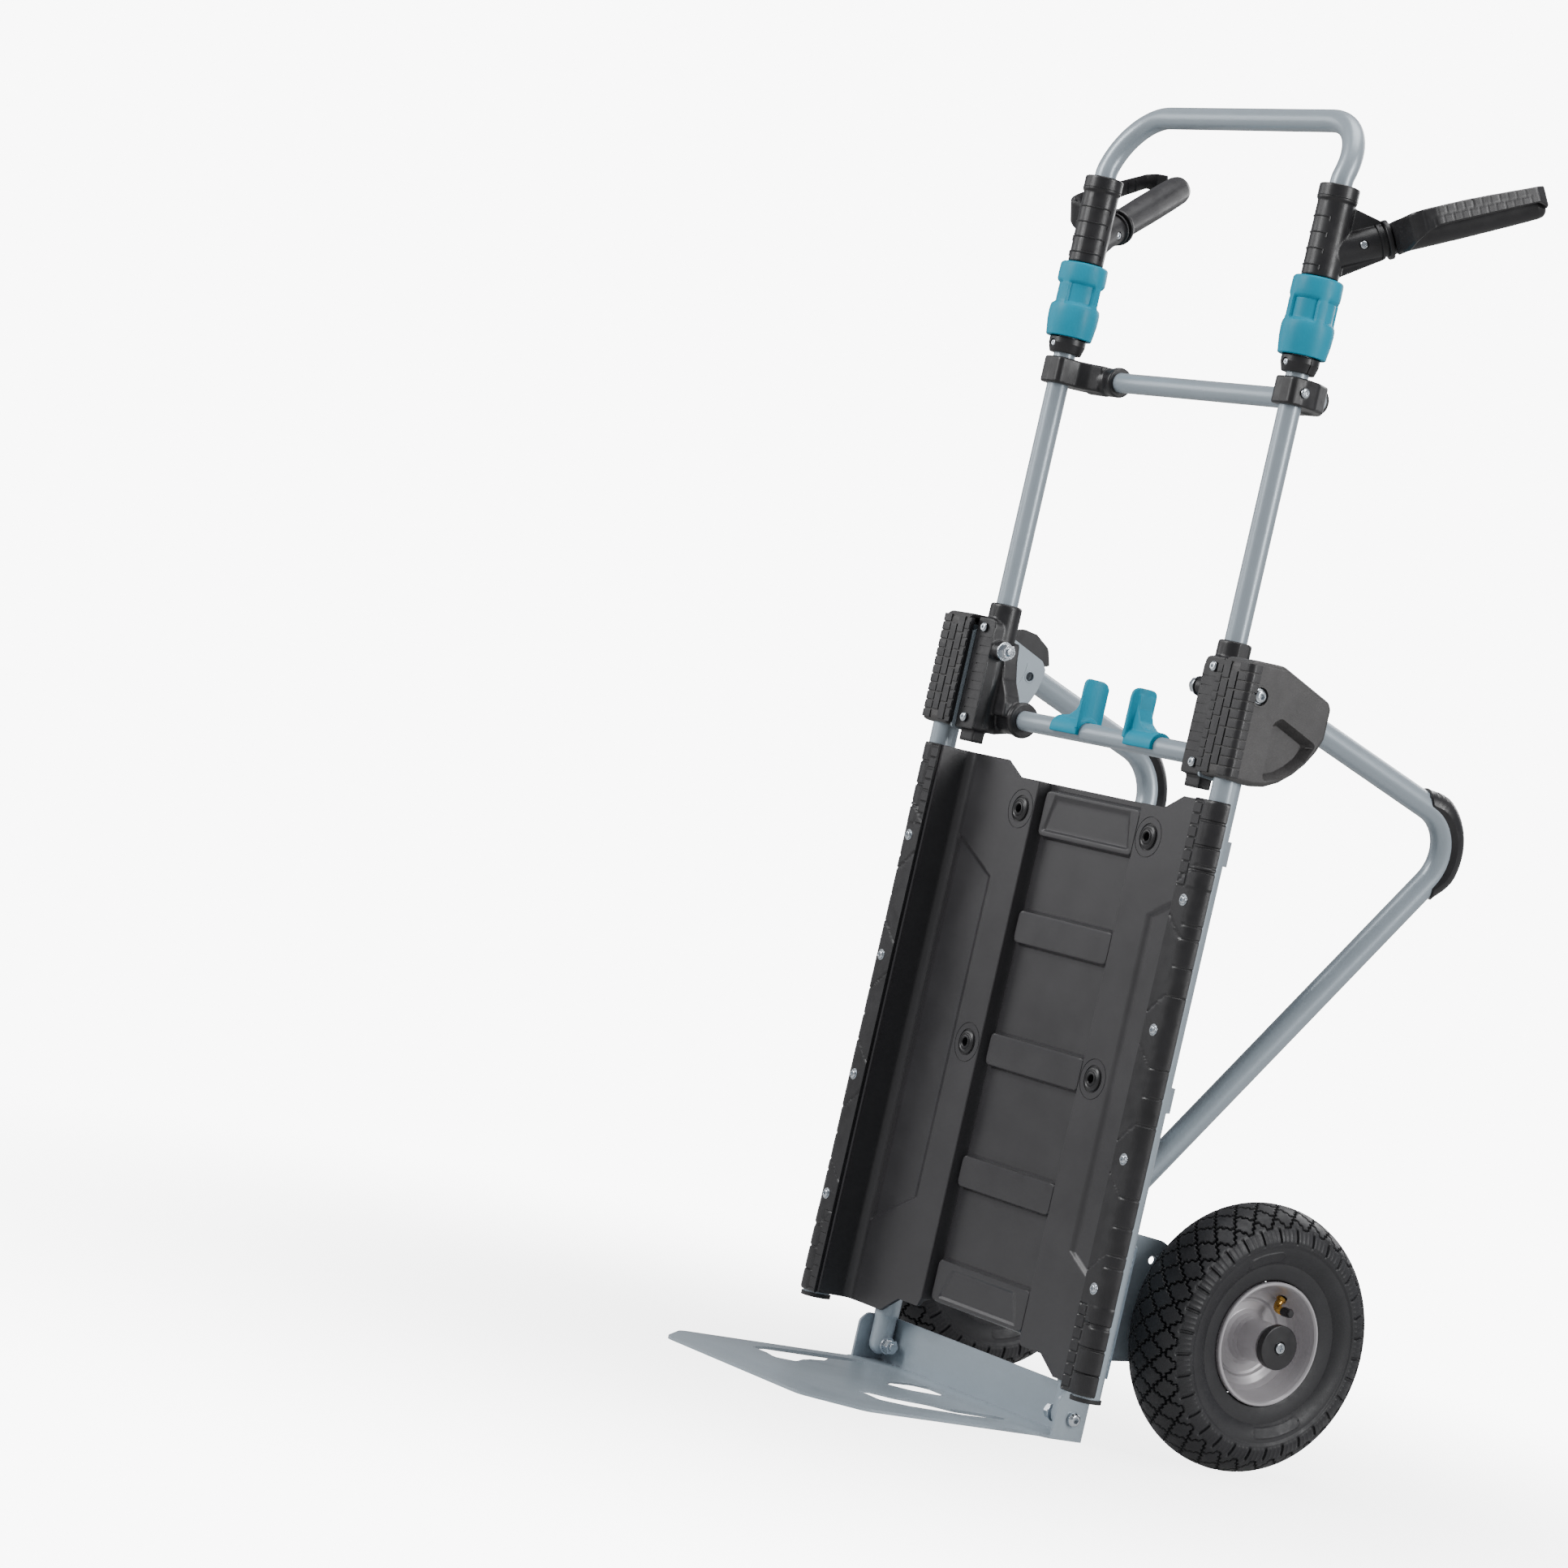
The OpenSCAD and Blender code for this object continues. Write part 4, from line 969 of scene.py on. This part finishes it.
def make_brackets():
    """Each pivoting bracket: sleeve, front block, web and crossbar socket in one moulding."""
    z = HINGE_Z
    sleeve = rod_z(TUBE_X, TUBE_Y, z - 83, z + 47, 16.2, 48, 2.5)
    block = [(170.5, z - 83), (201, z - 83), (201, z + 30), (170.5, z + 30)]
    front = prism(rounded(block, [2, 2, 3, 9]), -10, 9, "y")
    foot = box((174, -5, z - 95), (196, 10, z - 80))
    web = [(9, -83), (9, 6), (18, 0), (27, -20), (34, -42), (46, -55), (47, -70), (36, -79), (20, -83)]
    web = rounded(web, [0, 0, 6, 8, 8, 8, 8, 6, 3])
    arm = prism(lift(web), 172, 201, "x")
    socket = rod_x(143, 201, BAR_Y, BAR_Z, 16.2, 48, 1)
    rim = rod_x(143, 149.5, BAR_Y, BAR_Z, 18.2, 48, 1.5)
    gusset = [(173, z + 18), (168.5, z - 8), (163, z - 26), (152, z - 42), (149, z - 50),
              (149, z - 63), (175, z - 63)]
    gusset = prism(rounded(gusset, [2, 12, 12, 12, 6, 0, 0], 6), 8, 26, "y")
    boss = rod_x(160.5, 175, 0, z, 8.8, 40, 1)
    body = blend_edges(fuse(sleeve, front, foot, arm, socket, rim, gusset, boss), 1.1, 5)
    tools = [box((200.7, -60, z - 110), (215, 60, z + 60))]
    lines = [box((172.5, -12, z + h), (192 - (3 if k % 2 else 0), -9.35, z + h + 0.9))
             for k, h in enumerate(np.arange(-62, 16, 9.0))]
    lines.append(box((199, -12, z - 90), (199.8, -9.3, z + 34)))
    tools.append(join(*lines))
    tools += [rod_z(TUBE_X, TUBE_Y, z - 80.1, z + 60, 11.1),
              rod_x(141, 190, BAR_Y, BAR_Z, 10.1), rod_x(180, 205, BAR_Y, BAR_Z, 4.3),
              rod_x(150, 210, 0, z, 4.1)]
    cut_each(body, *tools)
    pair("pivot_bracket", body, "handle", BLACK, "{}_bracket", 30)


# ------------------------------------------------------------------ handle
def make_handle():
    side = [(TUBE_Y, HINGE_Z - 80), (TUBE_Y, HINGE_Z + 494), (29, HINGE_Z + 554.6)]
    line = [(TUBE_X, *p) for p in side] + [(-TUBE_X, *p) for p in reversed(side)]
    line = bent(line, [30, 58, 58, 30])
    piece("handle_bow", sweep(line, 11, 56), "handle", PAINT, ["handle_tube"], 40)


def make_clamps():
    """The moulded clamps that hold the upper crossbar to the handle tubes."""
    z = HIGH_BAR_Z
    plan = [(169, 8), (170, -5), (185, -6.5), (200, -5), (203, 8), (201.5, 26), (190, 46), (172, 58),
            (160, 60.5), (136, 60.5), (136, 33.5), (150, 33), (162, 26), (168, 18)]
    plan = rounded(plan, [6, 7, 10, 7, 8, 12, 12, 8, 8, 0, 0, 10, 10, 6])
    arm = pillow(plan, z - 13.4, z + 13.4, "z", 2, 2)
    socket = rod_x(134, 178, HIGH_BAR_Y, z, 13.8, 48, 1.2)
    rim = rod_x(134, 141, HIGH_BAR_Y, z, 15.2, 48, 1.5)
    web = rod((150, 47, z - 1), (176, 40, z - 1), 14.6, 48, 4)
    cut(arm, box((133, 25, z - 20), (150.5, 70, z + 20)))
    body = blend_edges(fuse(arm, socket, rim, web), 0.9, 4)
    cut_each(body, rod_z(TUBE_X, TUBE_Y, z - 40, z + 40, 11.05), rod_x(132, 180, HIGH_BAR_Y, z, 10.05),
             rod_x(TUBE_X, 206, TUBE_Y, z, 3.1), rod_x(202.4, 206, TUBE_Y, z, 6.2),
             box((202.4, 27.0, z - 20), (204, 27.9, z + 20)))
    piece("crossbar_clamp_mouldings", both(body), "handle", BLACK, ["crossbar_clamps"], 30)
    bar = cut(rod_x(-178, 178, HIGH_BAR_Y, z, 10, 56), rod_x(-179, 179, HIGH_BAR_Y, z, 8.5, 56))
    piece("upper_crossbar_tube", bar, "handle", PAINT, ["upper_crossbar"], 30)


def make_stop_rings():
    shape = [(11.05, 0), (16, 0), (18.5, 9), (18.5, 15), (11.05, 15)]
    ring = lathe(rounded(shape, [0.3, 1, 1.5, 0.8, 0.3], 4), (TUBE_X, TUBE_Y, HINGE_Z + 306), Z, 56)
    cut(ring, rod((TUBE_X, TUBE_Y - 25, HINGE_Z + 314), (TUBE_X, TUBE_Y - 16.6, HINGE_Z + 314), 3.9))
    cut(ring, box((TUBE_X + 8, TUBE_Y - 2, HINGE_Z + 300), (TUBE_X + 30, TUBE_Y - 1, HINGE_Z + 330)))
    piece("stop_ring_mouldings", both(ring), "handle", BLACK, ["stop_rings"], 30)


def make_collars():
    """The lock collars: flared skirt, four waist windows with ribs between them, upper ring."""
    outside = [(322, 22.6), (322.6, 23.3), (330, 24.3), (338, 25.3), (346, 25.6), (350, 25.5), (353, 24.9)]
    outside += [(354, 24.7), (355, 24.6), (356, 24.6)] + [(h, 24.2) for h in range(357, 375)]
    outside += [(375, 24.0), (376, 24.0), (377, 24.1), (379, 24.3), (384, 24.5), (390, 24.4)]
    outside += [(394.5, 24.2), (396, 23.6), (397, 22.4)]
    rows = []
    for t in np.linspace(0, 2 * np.pi, 144, endpoint=False):
        ring = []
        away = abs((math.degrees(t) - 30 + 45) % 90 - 45)
        window = ease((34 - away) / 3.5)
        for h, r in outside:
            inside = ease((h - 353.2) / 3.4) * ease((378.2 - h) / 3.4)
            r = r - 2.9 * window * inside
            ring.append((r * cos(t), r * sin(t), h))
        for r, h in ((15.1, 397), (15.1, 376), (18.6, 372), (18.6, 322)):
            ring.append((r * cos(t), r * sin(t), h))
        rows.append(ring)
    collar = aim(ring_skin(rows), (TUBE_X, TUBE_Y, HINGE_Z), Z)
    pair("lock_collar", collar, "{}_lock_collar", TEAL, "{}_collar", 40)


def make_levers():
    """The release levers: a half saddle on the crossbar with a curved finger plate at its inner end."""
    cz = BAR_Z
    saddle = rod_x(38, 82, BAR_Y, BAR_Z, 14, 56, 0.8)
    cut(saddle, box((20, 0, cz - 30), (100, 60, cz - 4)), box((20, 35, cz - 30), (100, 60, cz + 6)))
    face = rounded([(16, cz + 3), (46, cz + 3), (46, cz + 53), (16, cz + 53)], [0, 0, 9, 9], 6)
    arc = [(cos(t), sin(t)) for t in radians(-32, 32, 17)]
    outer = [(10 + 34 * c, BAR_Y + 34 * s) for c, s in arc]
    inner = [(10 + 30.2 * c, BAR_Y + 30.2 * s) for c, s in reversed(arc)]
    sheet = prism(outer + inner, cz + 2, cz + 53, "z")
    boolean(sheet, [prism(face, -20, 80, "x")], "INTERSECT")
    web = [(40, 5), (74, 5), (74, 13.3), (62, 15), (52.5, 21), (46, 33), (44, 46), (40, 46)]
    web = prism([(x, cz + h) for x, h in web], 22.5, 39.5, "y")
    lever = fuse(saddle, sheet, web)
    lever = blend_edges(lever, 0.8, 7)
    cut(lever, rod_x(10, 100, BAR_Y, BAR_Z, 10.1))
    cut(lever, box((20, 0, cz - 30), (100, 60, cz - 4.2)))
    lever = join(lever, box((48, 28, cz + 3.9), (56, 34, cz + 12)))
    pair("release_lever", lever, "{}_release", TEAL, "{}_lever", 45)


# ------------------------------------------------------------------ grips
def at_grip(o):
    """Places a shape made round the right tube's own axis, grip towards local +X."""
    turn = Matrix.Rotation(math.radians(60), 4, "Z")
    o.data.transform(Matrix.Translation((TUBE_X, TUBE_Y, GRIP_Z)) @ turn)
    return o


GRIP_RISE = math.radians(27)
ALONG = Vector((cos(GRIP_RISE), 0, sin(GRIP_RISE)))
ACROSS = Vector((-sin(GRIP_RISE), 0, cos(GRIP_RISE)))


def make_grip_sleeves():
    """The sleeve that turns on the handle tube, with its branch, gussets and ribbed front."""
    screw = 36 * ALONG
    tube = rod_z(0, 0, -22, 52, 18, 56, 1)
    cap = rod_z(0, 0, 51, 66.5, 19.5, 56, 1.5)
    skirt = rod_z(0, 0, -36, -15, 14.9, 48)
    branch = rod((0, 0, 0), 60 * ALONG, 15.4, 48)
    over = prism([(14, 50), (20, 49), (45, 43.5), (52, 37), (40, 10), (14, 10)], -2.3, 2.3, "y")
    under = prism([(14, -20), (56, 9), (40, 20), (14, 10)], -2.3, 2.3, "y")
    body = blend_edges(fuse(tube, cap, skirt, branch, over, under), 0.9, 5)
    flange = lathe(rounded([(9, 0), (19, 0), (19, 5), (9, 5)], [0, 1.6, 1.2, 0], 4), 59 * ALONG, ALONG, 56)
    seat = lathe([(15.3, 0), (17.2, 0.4), (17.2, 2.6), (15.3, 3)], 52 * ALONG, ALONG, 56)
    ribs = []
    for k in range(4):
        h = -12 + 15.5 * k
        arc = [math.radians(a) for a in range(108, 253, 6)]
        ring = [(18.15 * cos(t), 18.15 * sin(t), h) for t in arc]
        ribs.append(sweep(ring, 0.8, 8))
        for end in (ring[0], ring[-1]):
            ribs.append(rod(end, Vector(end) - 4.5 * Z, 0.7, 8))
    ribs.append(lathe([(19.45, 0), (20.0, 0.4), (19.45, 0.8)], (0, 0, 54), Z, 56))
    cut_each(body, rod_z(0, 0, -40, 80, 11.1), rod(22 * ALONG, 80 * ALONG, 9.1),
             *(rod(20 * s * Y + screw, 13.9 * s * Y + screw, 4.6) for s in (-1, 1)))
    whole = at_grip(join(body, flange, seat, *ribs))
    pair("grip_sleeve_moulding", whole, "{}_grip", BLACK, "{}_grip_sleeve", 32)
    screws = [socket_head(13.2 * s * Y + screw, s * Y, 3.9, 2.4, 1.5, 1.2) for s in (-1, 1)]
    pair("grip_screws", at_grip(join(*screws)), "{}_grip", ZINC, "{}_grip_sleeve", 30)


def make_grip_bars():
    """The rounded grip with a soft swell and a core that plugs into the sleeve."""
    shape = [(0, 64.1), (14.2, 64.1), (15.0, 66), (15.2, 90), (15.6, 130), (15.4, 180), (15.0, 205),
             (14.0, 210.5), (11.5, 213.2), (7, 214), (0, 214)]
    bar = lathe(rounded(shape, [0, 0.5, 1, 12, 20, 16, 6, 2, 2, 2, 0], 4), (0, 0, 0), ALONG, 56)
    core = rod(22.5 * ALONG, 67 * ALONG, 9, 40)
    pair("grip_bar_moulding", at_grip(join(bar, core)), "{}_grip", BLACK, "{}_grip_bar", 30)


def guard_low(run):
    """The lower edge of the strap, run mm along it."""
    return 15.5 * rise((run - 22) / 52)


def make_guards():
    """The knuckle guard: a broad strap that leaves the flange, narrows, and runs back to the grip's end."""
    path = [(66.5, -14), (67.5, -33), (79, -61.5), (100, -60.5), (203, -33.5), (211, -25), (211, -13)]
    path = bent([(x, y, 0) for x, y in path], [14, 12, 20, 7, 5])
    fine = refined(path, lambda length: max(1, int(length / 1.1)))
    run = distances(fine)
    thick, soft, cols, pitch = 3.5, 0.9, 15, 9.2
    rows = []
    for i, (p, s) in enumerate(zip(fine, run)):
        d = heading(fine, i)
        out = Vector((d.y, -d.x, 0))
        low = -17 + guard_low(s)
        high = 14.5 + 2.0 * rise((s - 20) / 40) - 3.5 * rise((s - 90) / 110)
        if s > run[-1] - 26:
            low -= 6 * rise((s - run[-1] + 26) / 20)
        ring = []
        for k in range(cols):
            raised = 0.0
            if 62 < s < run[-1] - 30 and 1 <= k <= cols - 2:
                gap = (s + (pitch / 2 if k > cols // 2 else 0)) % pitch
                raised = -0.22 if gap < 1.15 or k == cols // 2 else 0.0
            elif 40 < s <= 62 and 2 <= k <= cols - 3:
                raised = -0.3 if s % pitch < 1.15 else 0.0
            edge = soft if k in (0, cols - 1) else 0.0
            ring.append(p + (thick / 2 - edge + raised) * out + (low + (high - low) * k / (cols - 1)) * Z)
        for k in range(4):
            edge = soft if k in (0, 3) else 0.0
            ring.append(p - (thick / 2 - edge) * out + (high + (low - high) * k / 3) * Z)
        rows.append(ring)
    strap = skin(rows)
    ribs = []
    for s in np.arange(24, run[-1] - 34, 12.0):
        i = min(range(len(run)), key=lambda j: abs(run[j] - s))
        d = heading(fine, i)
        foot = fine[i] - 1.7 * Vector((d.y, -d.x, 0))
        ribs.append(rod(foot + (-15 + guard_low(s)) * Z, foot + 12 * Z, 0.8, 8))
    turn = Matrix((ALONG, Y, ACROSS)).transposed().to_4x4()
    guard = join(strap, *ribs)
    guard.data.transform(turn)
    pair("knuckle_guard_strap", at_grip(guard), "{}_grip", BLACK, "{}_knuckle_guard", 30)


# ------------------------------------------------------------------ wheels
def tyre_relief(u, s, a):
    """Height over the carcass at u (block pitches round), s mm across from the crown, a degrees round."""
    s_abs = abs(s)
    lug = rise((0.46 - abs((u % 1) - 0.5)) / 0.04)
    if s_abs < 42:
        p, q = u + s / 28, u - s / 28
        p, q = p + (0.04 if (3 * q) % 1 < 0.5 else -0.04), q + (0.04 if (3 * p) % 1 < 0.5 else -0.04)
        away = min(abs(p - round(p)), abs(q - round(q)))
        fade = 1 - rise((s_abs - 38) / 4)
        return 3.0 * rise((away - 0.022) / 0.04) * fade + 2.2 * lug * (1 - fade)
    if s_abs < 56:
        fine = 0.45 * max(0, sin(2 * pi * 4 * u)) * (abs((u % 1) - 0.5) < 0.38)
        fade = 1 - rise((s_abs - 53) / 3)
        return (2.2 * lug + fine) * fade + 1.4 * (1 - fade)
    if s_abs < 60:
        return 1.4 * (1 - rise((s_abs - 57.5) / 1.2))
    pill = 0.0
    for c, span in ((20, 15), (200, 11)):
        along = max(0, abs((a - c + 180) % 360 - 180) - span) * 1.45
        gap = math.hypot(along, s_abs - 70) - 5.2
        pill = max(pill, 0.6 * rise((0.9 - abs(gap)) / 0.7) + 0.25 * rise(-gap / 0.8))
    return pill + 0.55 * rise((1.0 - abs(s_abs - 82)) / 0.8)


def make_tyres():
    """The pneumatic tyre: carcass, diamond tread blocks, shoulder lugs, blank plaques and bead."""
    blocks, fineness = 32, 24
    around = blocks * fineness
    side = list(np.linspace(64, 152, 48))
    angles = np.radians([-t for t in reversed(side)] + list(np.linspace(-63, 63, 106)) + side)
    mid_r, hr, hx, tread = 95, 34.0, 41.0, 2.0
    cross, gone, last = [], 0.0, None
    for t in radians(0, 152, 400):
        here = (hr * cos(t), hx * sin(t))
        gone += math.hypot(here[0] - last[0], here[1] - last[1]) if last else 0
        cross.append((t, gone))
        last = here
    arc_t, arc_s = (np.array(c) for c in zip(*cross))
    inside = [(62.5, 24.0), (61.2, 26.5), (61.2, 29.0), (64, 30.5), (80, 33), (102, 29), (114, 15)]
    rows = []
    for k in range(around):
        th = 2 * pi * k / around
        u = k / fineness
        ring = []
        for t in angles:
            s = math.copysign(np.interp(abs(t), arc_t, arc_s), t)
            n = Vector((cos(t) / hr, sin(t) / hx)).normalized()
            h = tyre_relief(u, s, math.degrees(th)) - tread
            r = mid_r + hr * cos(t) + n.x * h
            ring.append((min(r, 129.9), hx * sin(t) + n.y * h))
        ring += inside + [(116, 0)] + [(r, -x) for r, x in reversed(inside)]
        rows.append([(r * cos(th), r * sin(th), x) for r, x in ring])
    tyre = ring_skin(rows)
    aim(tyre, WHEEL_CENTRE, X, -Z)
    pair("pneumatic_tyre", tyre, "{}_wheel", RUBBER, "{}_tyre", 42)


def make_rims():
    """The pressed rim: rolled lip, deep dish with a stepped ring, hub tube, on a sleeve for the bearings."""
    dish = [(17.1, -37), (20, -37), (20, -12), (46, -12), (53, -18), (55, -27), (58.6, -32.0),
            (60.2, -31), (60.2, -29), (59.0, -24), (57.4, -19), (52, -11), (50, -9), (50, 9), (52, 11),
            (57.4, 19), (59.0, 24), (60.2, 29), (60.3, 31.6), (59.4, 33), (57.6, 33.2), (56.2, 31.5),
            (54.9, 27), (53, 18), (50, 8), (46, 2.5), (41, -0.2), (38.6, -1.2), (37, -3.6),
            (34.2, -4.4), (27, -3.2), (23.4, -0.4), (21.2, 4), (20, 9), (20, 37),
            (17.1, 37), (17.1, 26), (15, 26), (15, -26), (17.1, -26)]
    soft = [0.3, 0.3, 2, 5, 4, 4, 0.8, 0.8, 0.8, 3, 3, 2, 2, 2, 2, 3, 3, 0.8, 1, 0.8, 0.8, 1.5, 4, 6,
            4, 4, 2, 0.8, 1.6, 2.2, 3, 3, 3, 3, 0.5, 0.3, 0.2, 0.2, 0.2, 0.2]
    rim = lathe(rounded(dish, soft, 4), WHEEL_CENTRE, X, 128)
    cut(rim, rod(valve_place(40, 8), valve_place(54, 8), 4.6, 32))
    pair("pressed_rim", rim, "{}_wheel", RIM, "{}_rim", 34)
    seats = []
    for h in (-37, 26.2):
        seat = [(7.6, h), (17, h), (17, h + 10.8), (12, h + 10.8), (11.4, h + 9.6), (7.6, h + 9.6)]
        seats.append(lathe(rounded(seat, 0.4, 2), WHEEL_CENTRE, X, 48))
    pair("wheel_bearing", join(*seats), "{}_wheel", BLACK, "{}_bearings", 30)


def valve_place(r, h):
    """A place at the valve's heading, r mm from the axle and h mm outwards."""
    t = math.radians(150)
    return Vector((WHEEL_X + h, AXLE_Y + r * sin(t), TYRE_R - r * cos(t)))


def make_valves():
    """The bent brass stem and its ribbed black cap."""
    line = bent([valve_place(49.5, 8), valve_place(37, 8), valve_place(37, 21)], [6.5])
    stem = sweep(line, 3.6, 32)
    nut = hex_nut(valve_place(49.4, 8), valve_place(0, 0) - valve_place(1, 0), 5.2, 3.4, 3.2)
    ridge = [(3.4, 0), (4.0, 0.5), (3.4, 1.0)]
    thread = [lathe(ridge, valve_place(37, 16 + 1.2 * k), X, 28) for k in range(4)]
    pair("valve_stem", join(stem, nut, *thread), "{}_wheel", BRASS, "{}_valve", 35)
    rows = []
    for t in np.linspace(0, 2 * np.pi, 72, endpoint=False):
        r = 4.15 + 0.28 * (1 if (t * 12 / (2 * pi)) % 1 < 0.55 else 0)
        ring = [(0.01, 0), (r, 0), (r, 9.3), (3.9, 10.0), (3.9, 11.2), (3.3, 11.9), (0.01, 12)]
        rows.append([(q * cos(t), q * sin(t), h) for q, h in ring])
    cap = aim(ring_skin(rows), valve_place(37, 21.1), X)
    pair("valve_cap_ribbed", cap, "{}_wheel", BLACK, "{}_valve_cap", 35)


def make_hub_caps():
    shape = [(2.7, 0), (21.5, 0), (21.5, 7.4), (6.6, 8.2), (6, 6.5), (2.7, 6.5)]
    cap = lathe(rounded(shape, [0, 0.3, 1.2, 0.5, 0.2, 0], 4), (256.2, AXLE_Y, TYRE_R), X, 72)
    piece("hub_cap_mouldings", both(cap), "frame", BLACK, ["hub_caps"], 30)


# ------------------------------------------------------------------ frame nodes that keep their shape
def dress(mat, *nodes):
    """Gives CAD nodes a better material."""
    for name in nodes:
        o = frame["nodes"][name]
        if not o.material_slots:
            o.data.materials.append(mat)
        for s in o.material_slots:
            s.material = mat


def dress_frame_nodes():
    dress(PAINT, "left_rail", "right_rail", "lower_crossbar")
    dress(BLACK, "rail_end_caps")
    dress(ZINC, "axle_rod", "left_lock_pin", "right_lock_pin")


def make_floor():
    """A pale floor that is wide enough to have no edge in view."""
    floor = grid([[(-30000, -30000, 0), (30000, -30000, 0)], [(-30000, 30000, 0), (30000, 30000, 0)]])
    floor.name = "floor"
    floor.data.transform(Matrix.Scale(0.001, 4))
    floor.data.materials.append(FLOOR)


make_camera()
make_studio()
make_floor()
dress_frame_nodes()
make_fasteners()
make_rail_covers()
make_legs()
make_foot_covers()
make_axle_brackets()
make_straps()
make_hinge_plates()
make_toe_plate()
make_deck()
make_housings()
make_brackets()
make_handle()
make_clamps()
make_stop_rings()
make_collars()
make_levers()
make_grip_sleeves()
make_grip_bars()
make_guards()
make_tyres()
make_rims()
make_valves()
make_hub_caps()
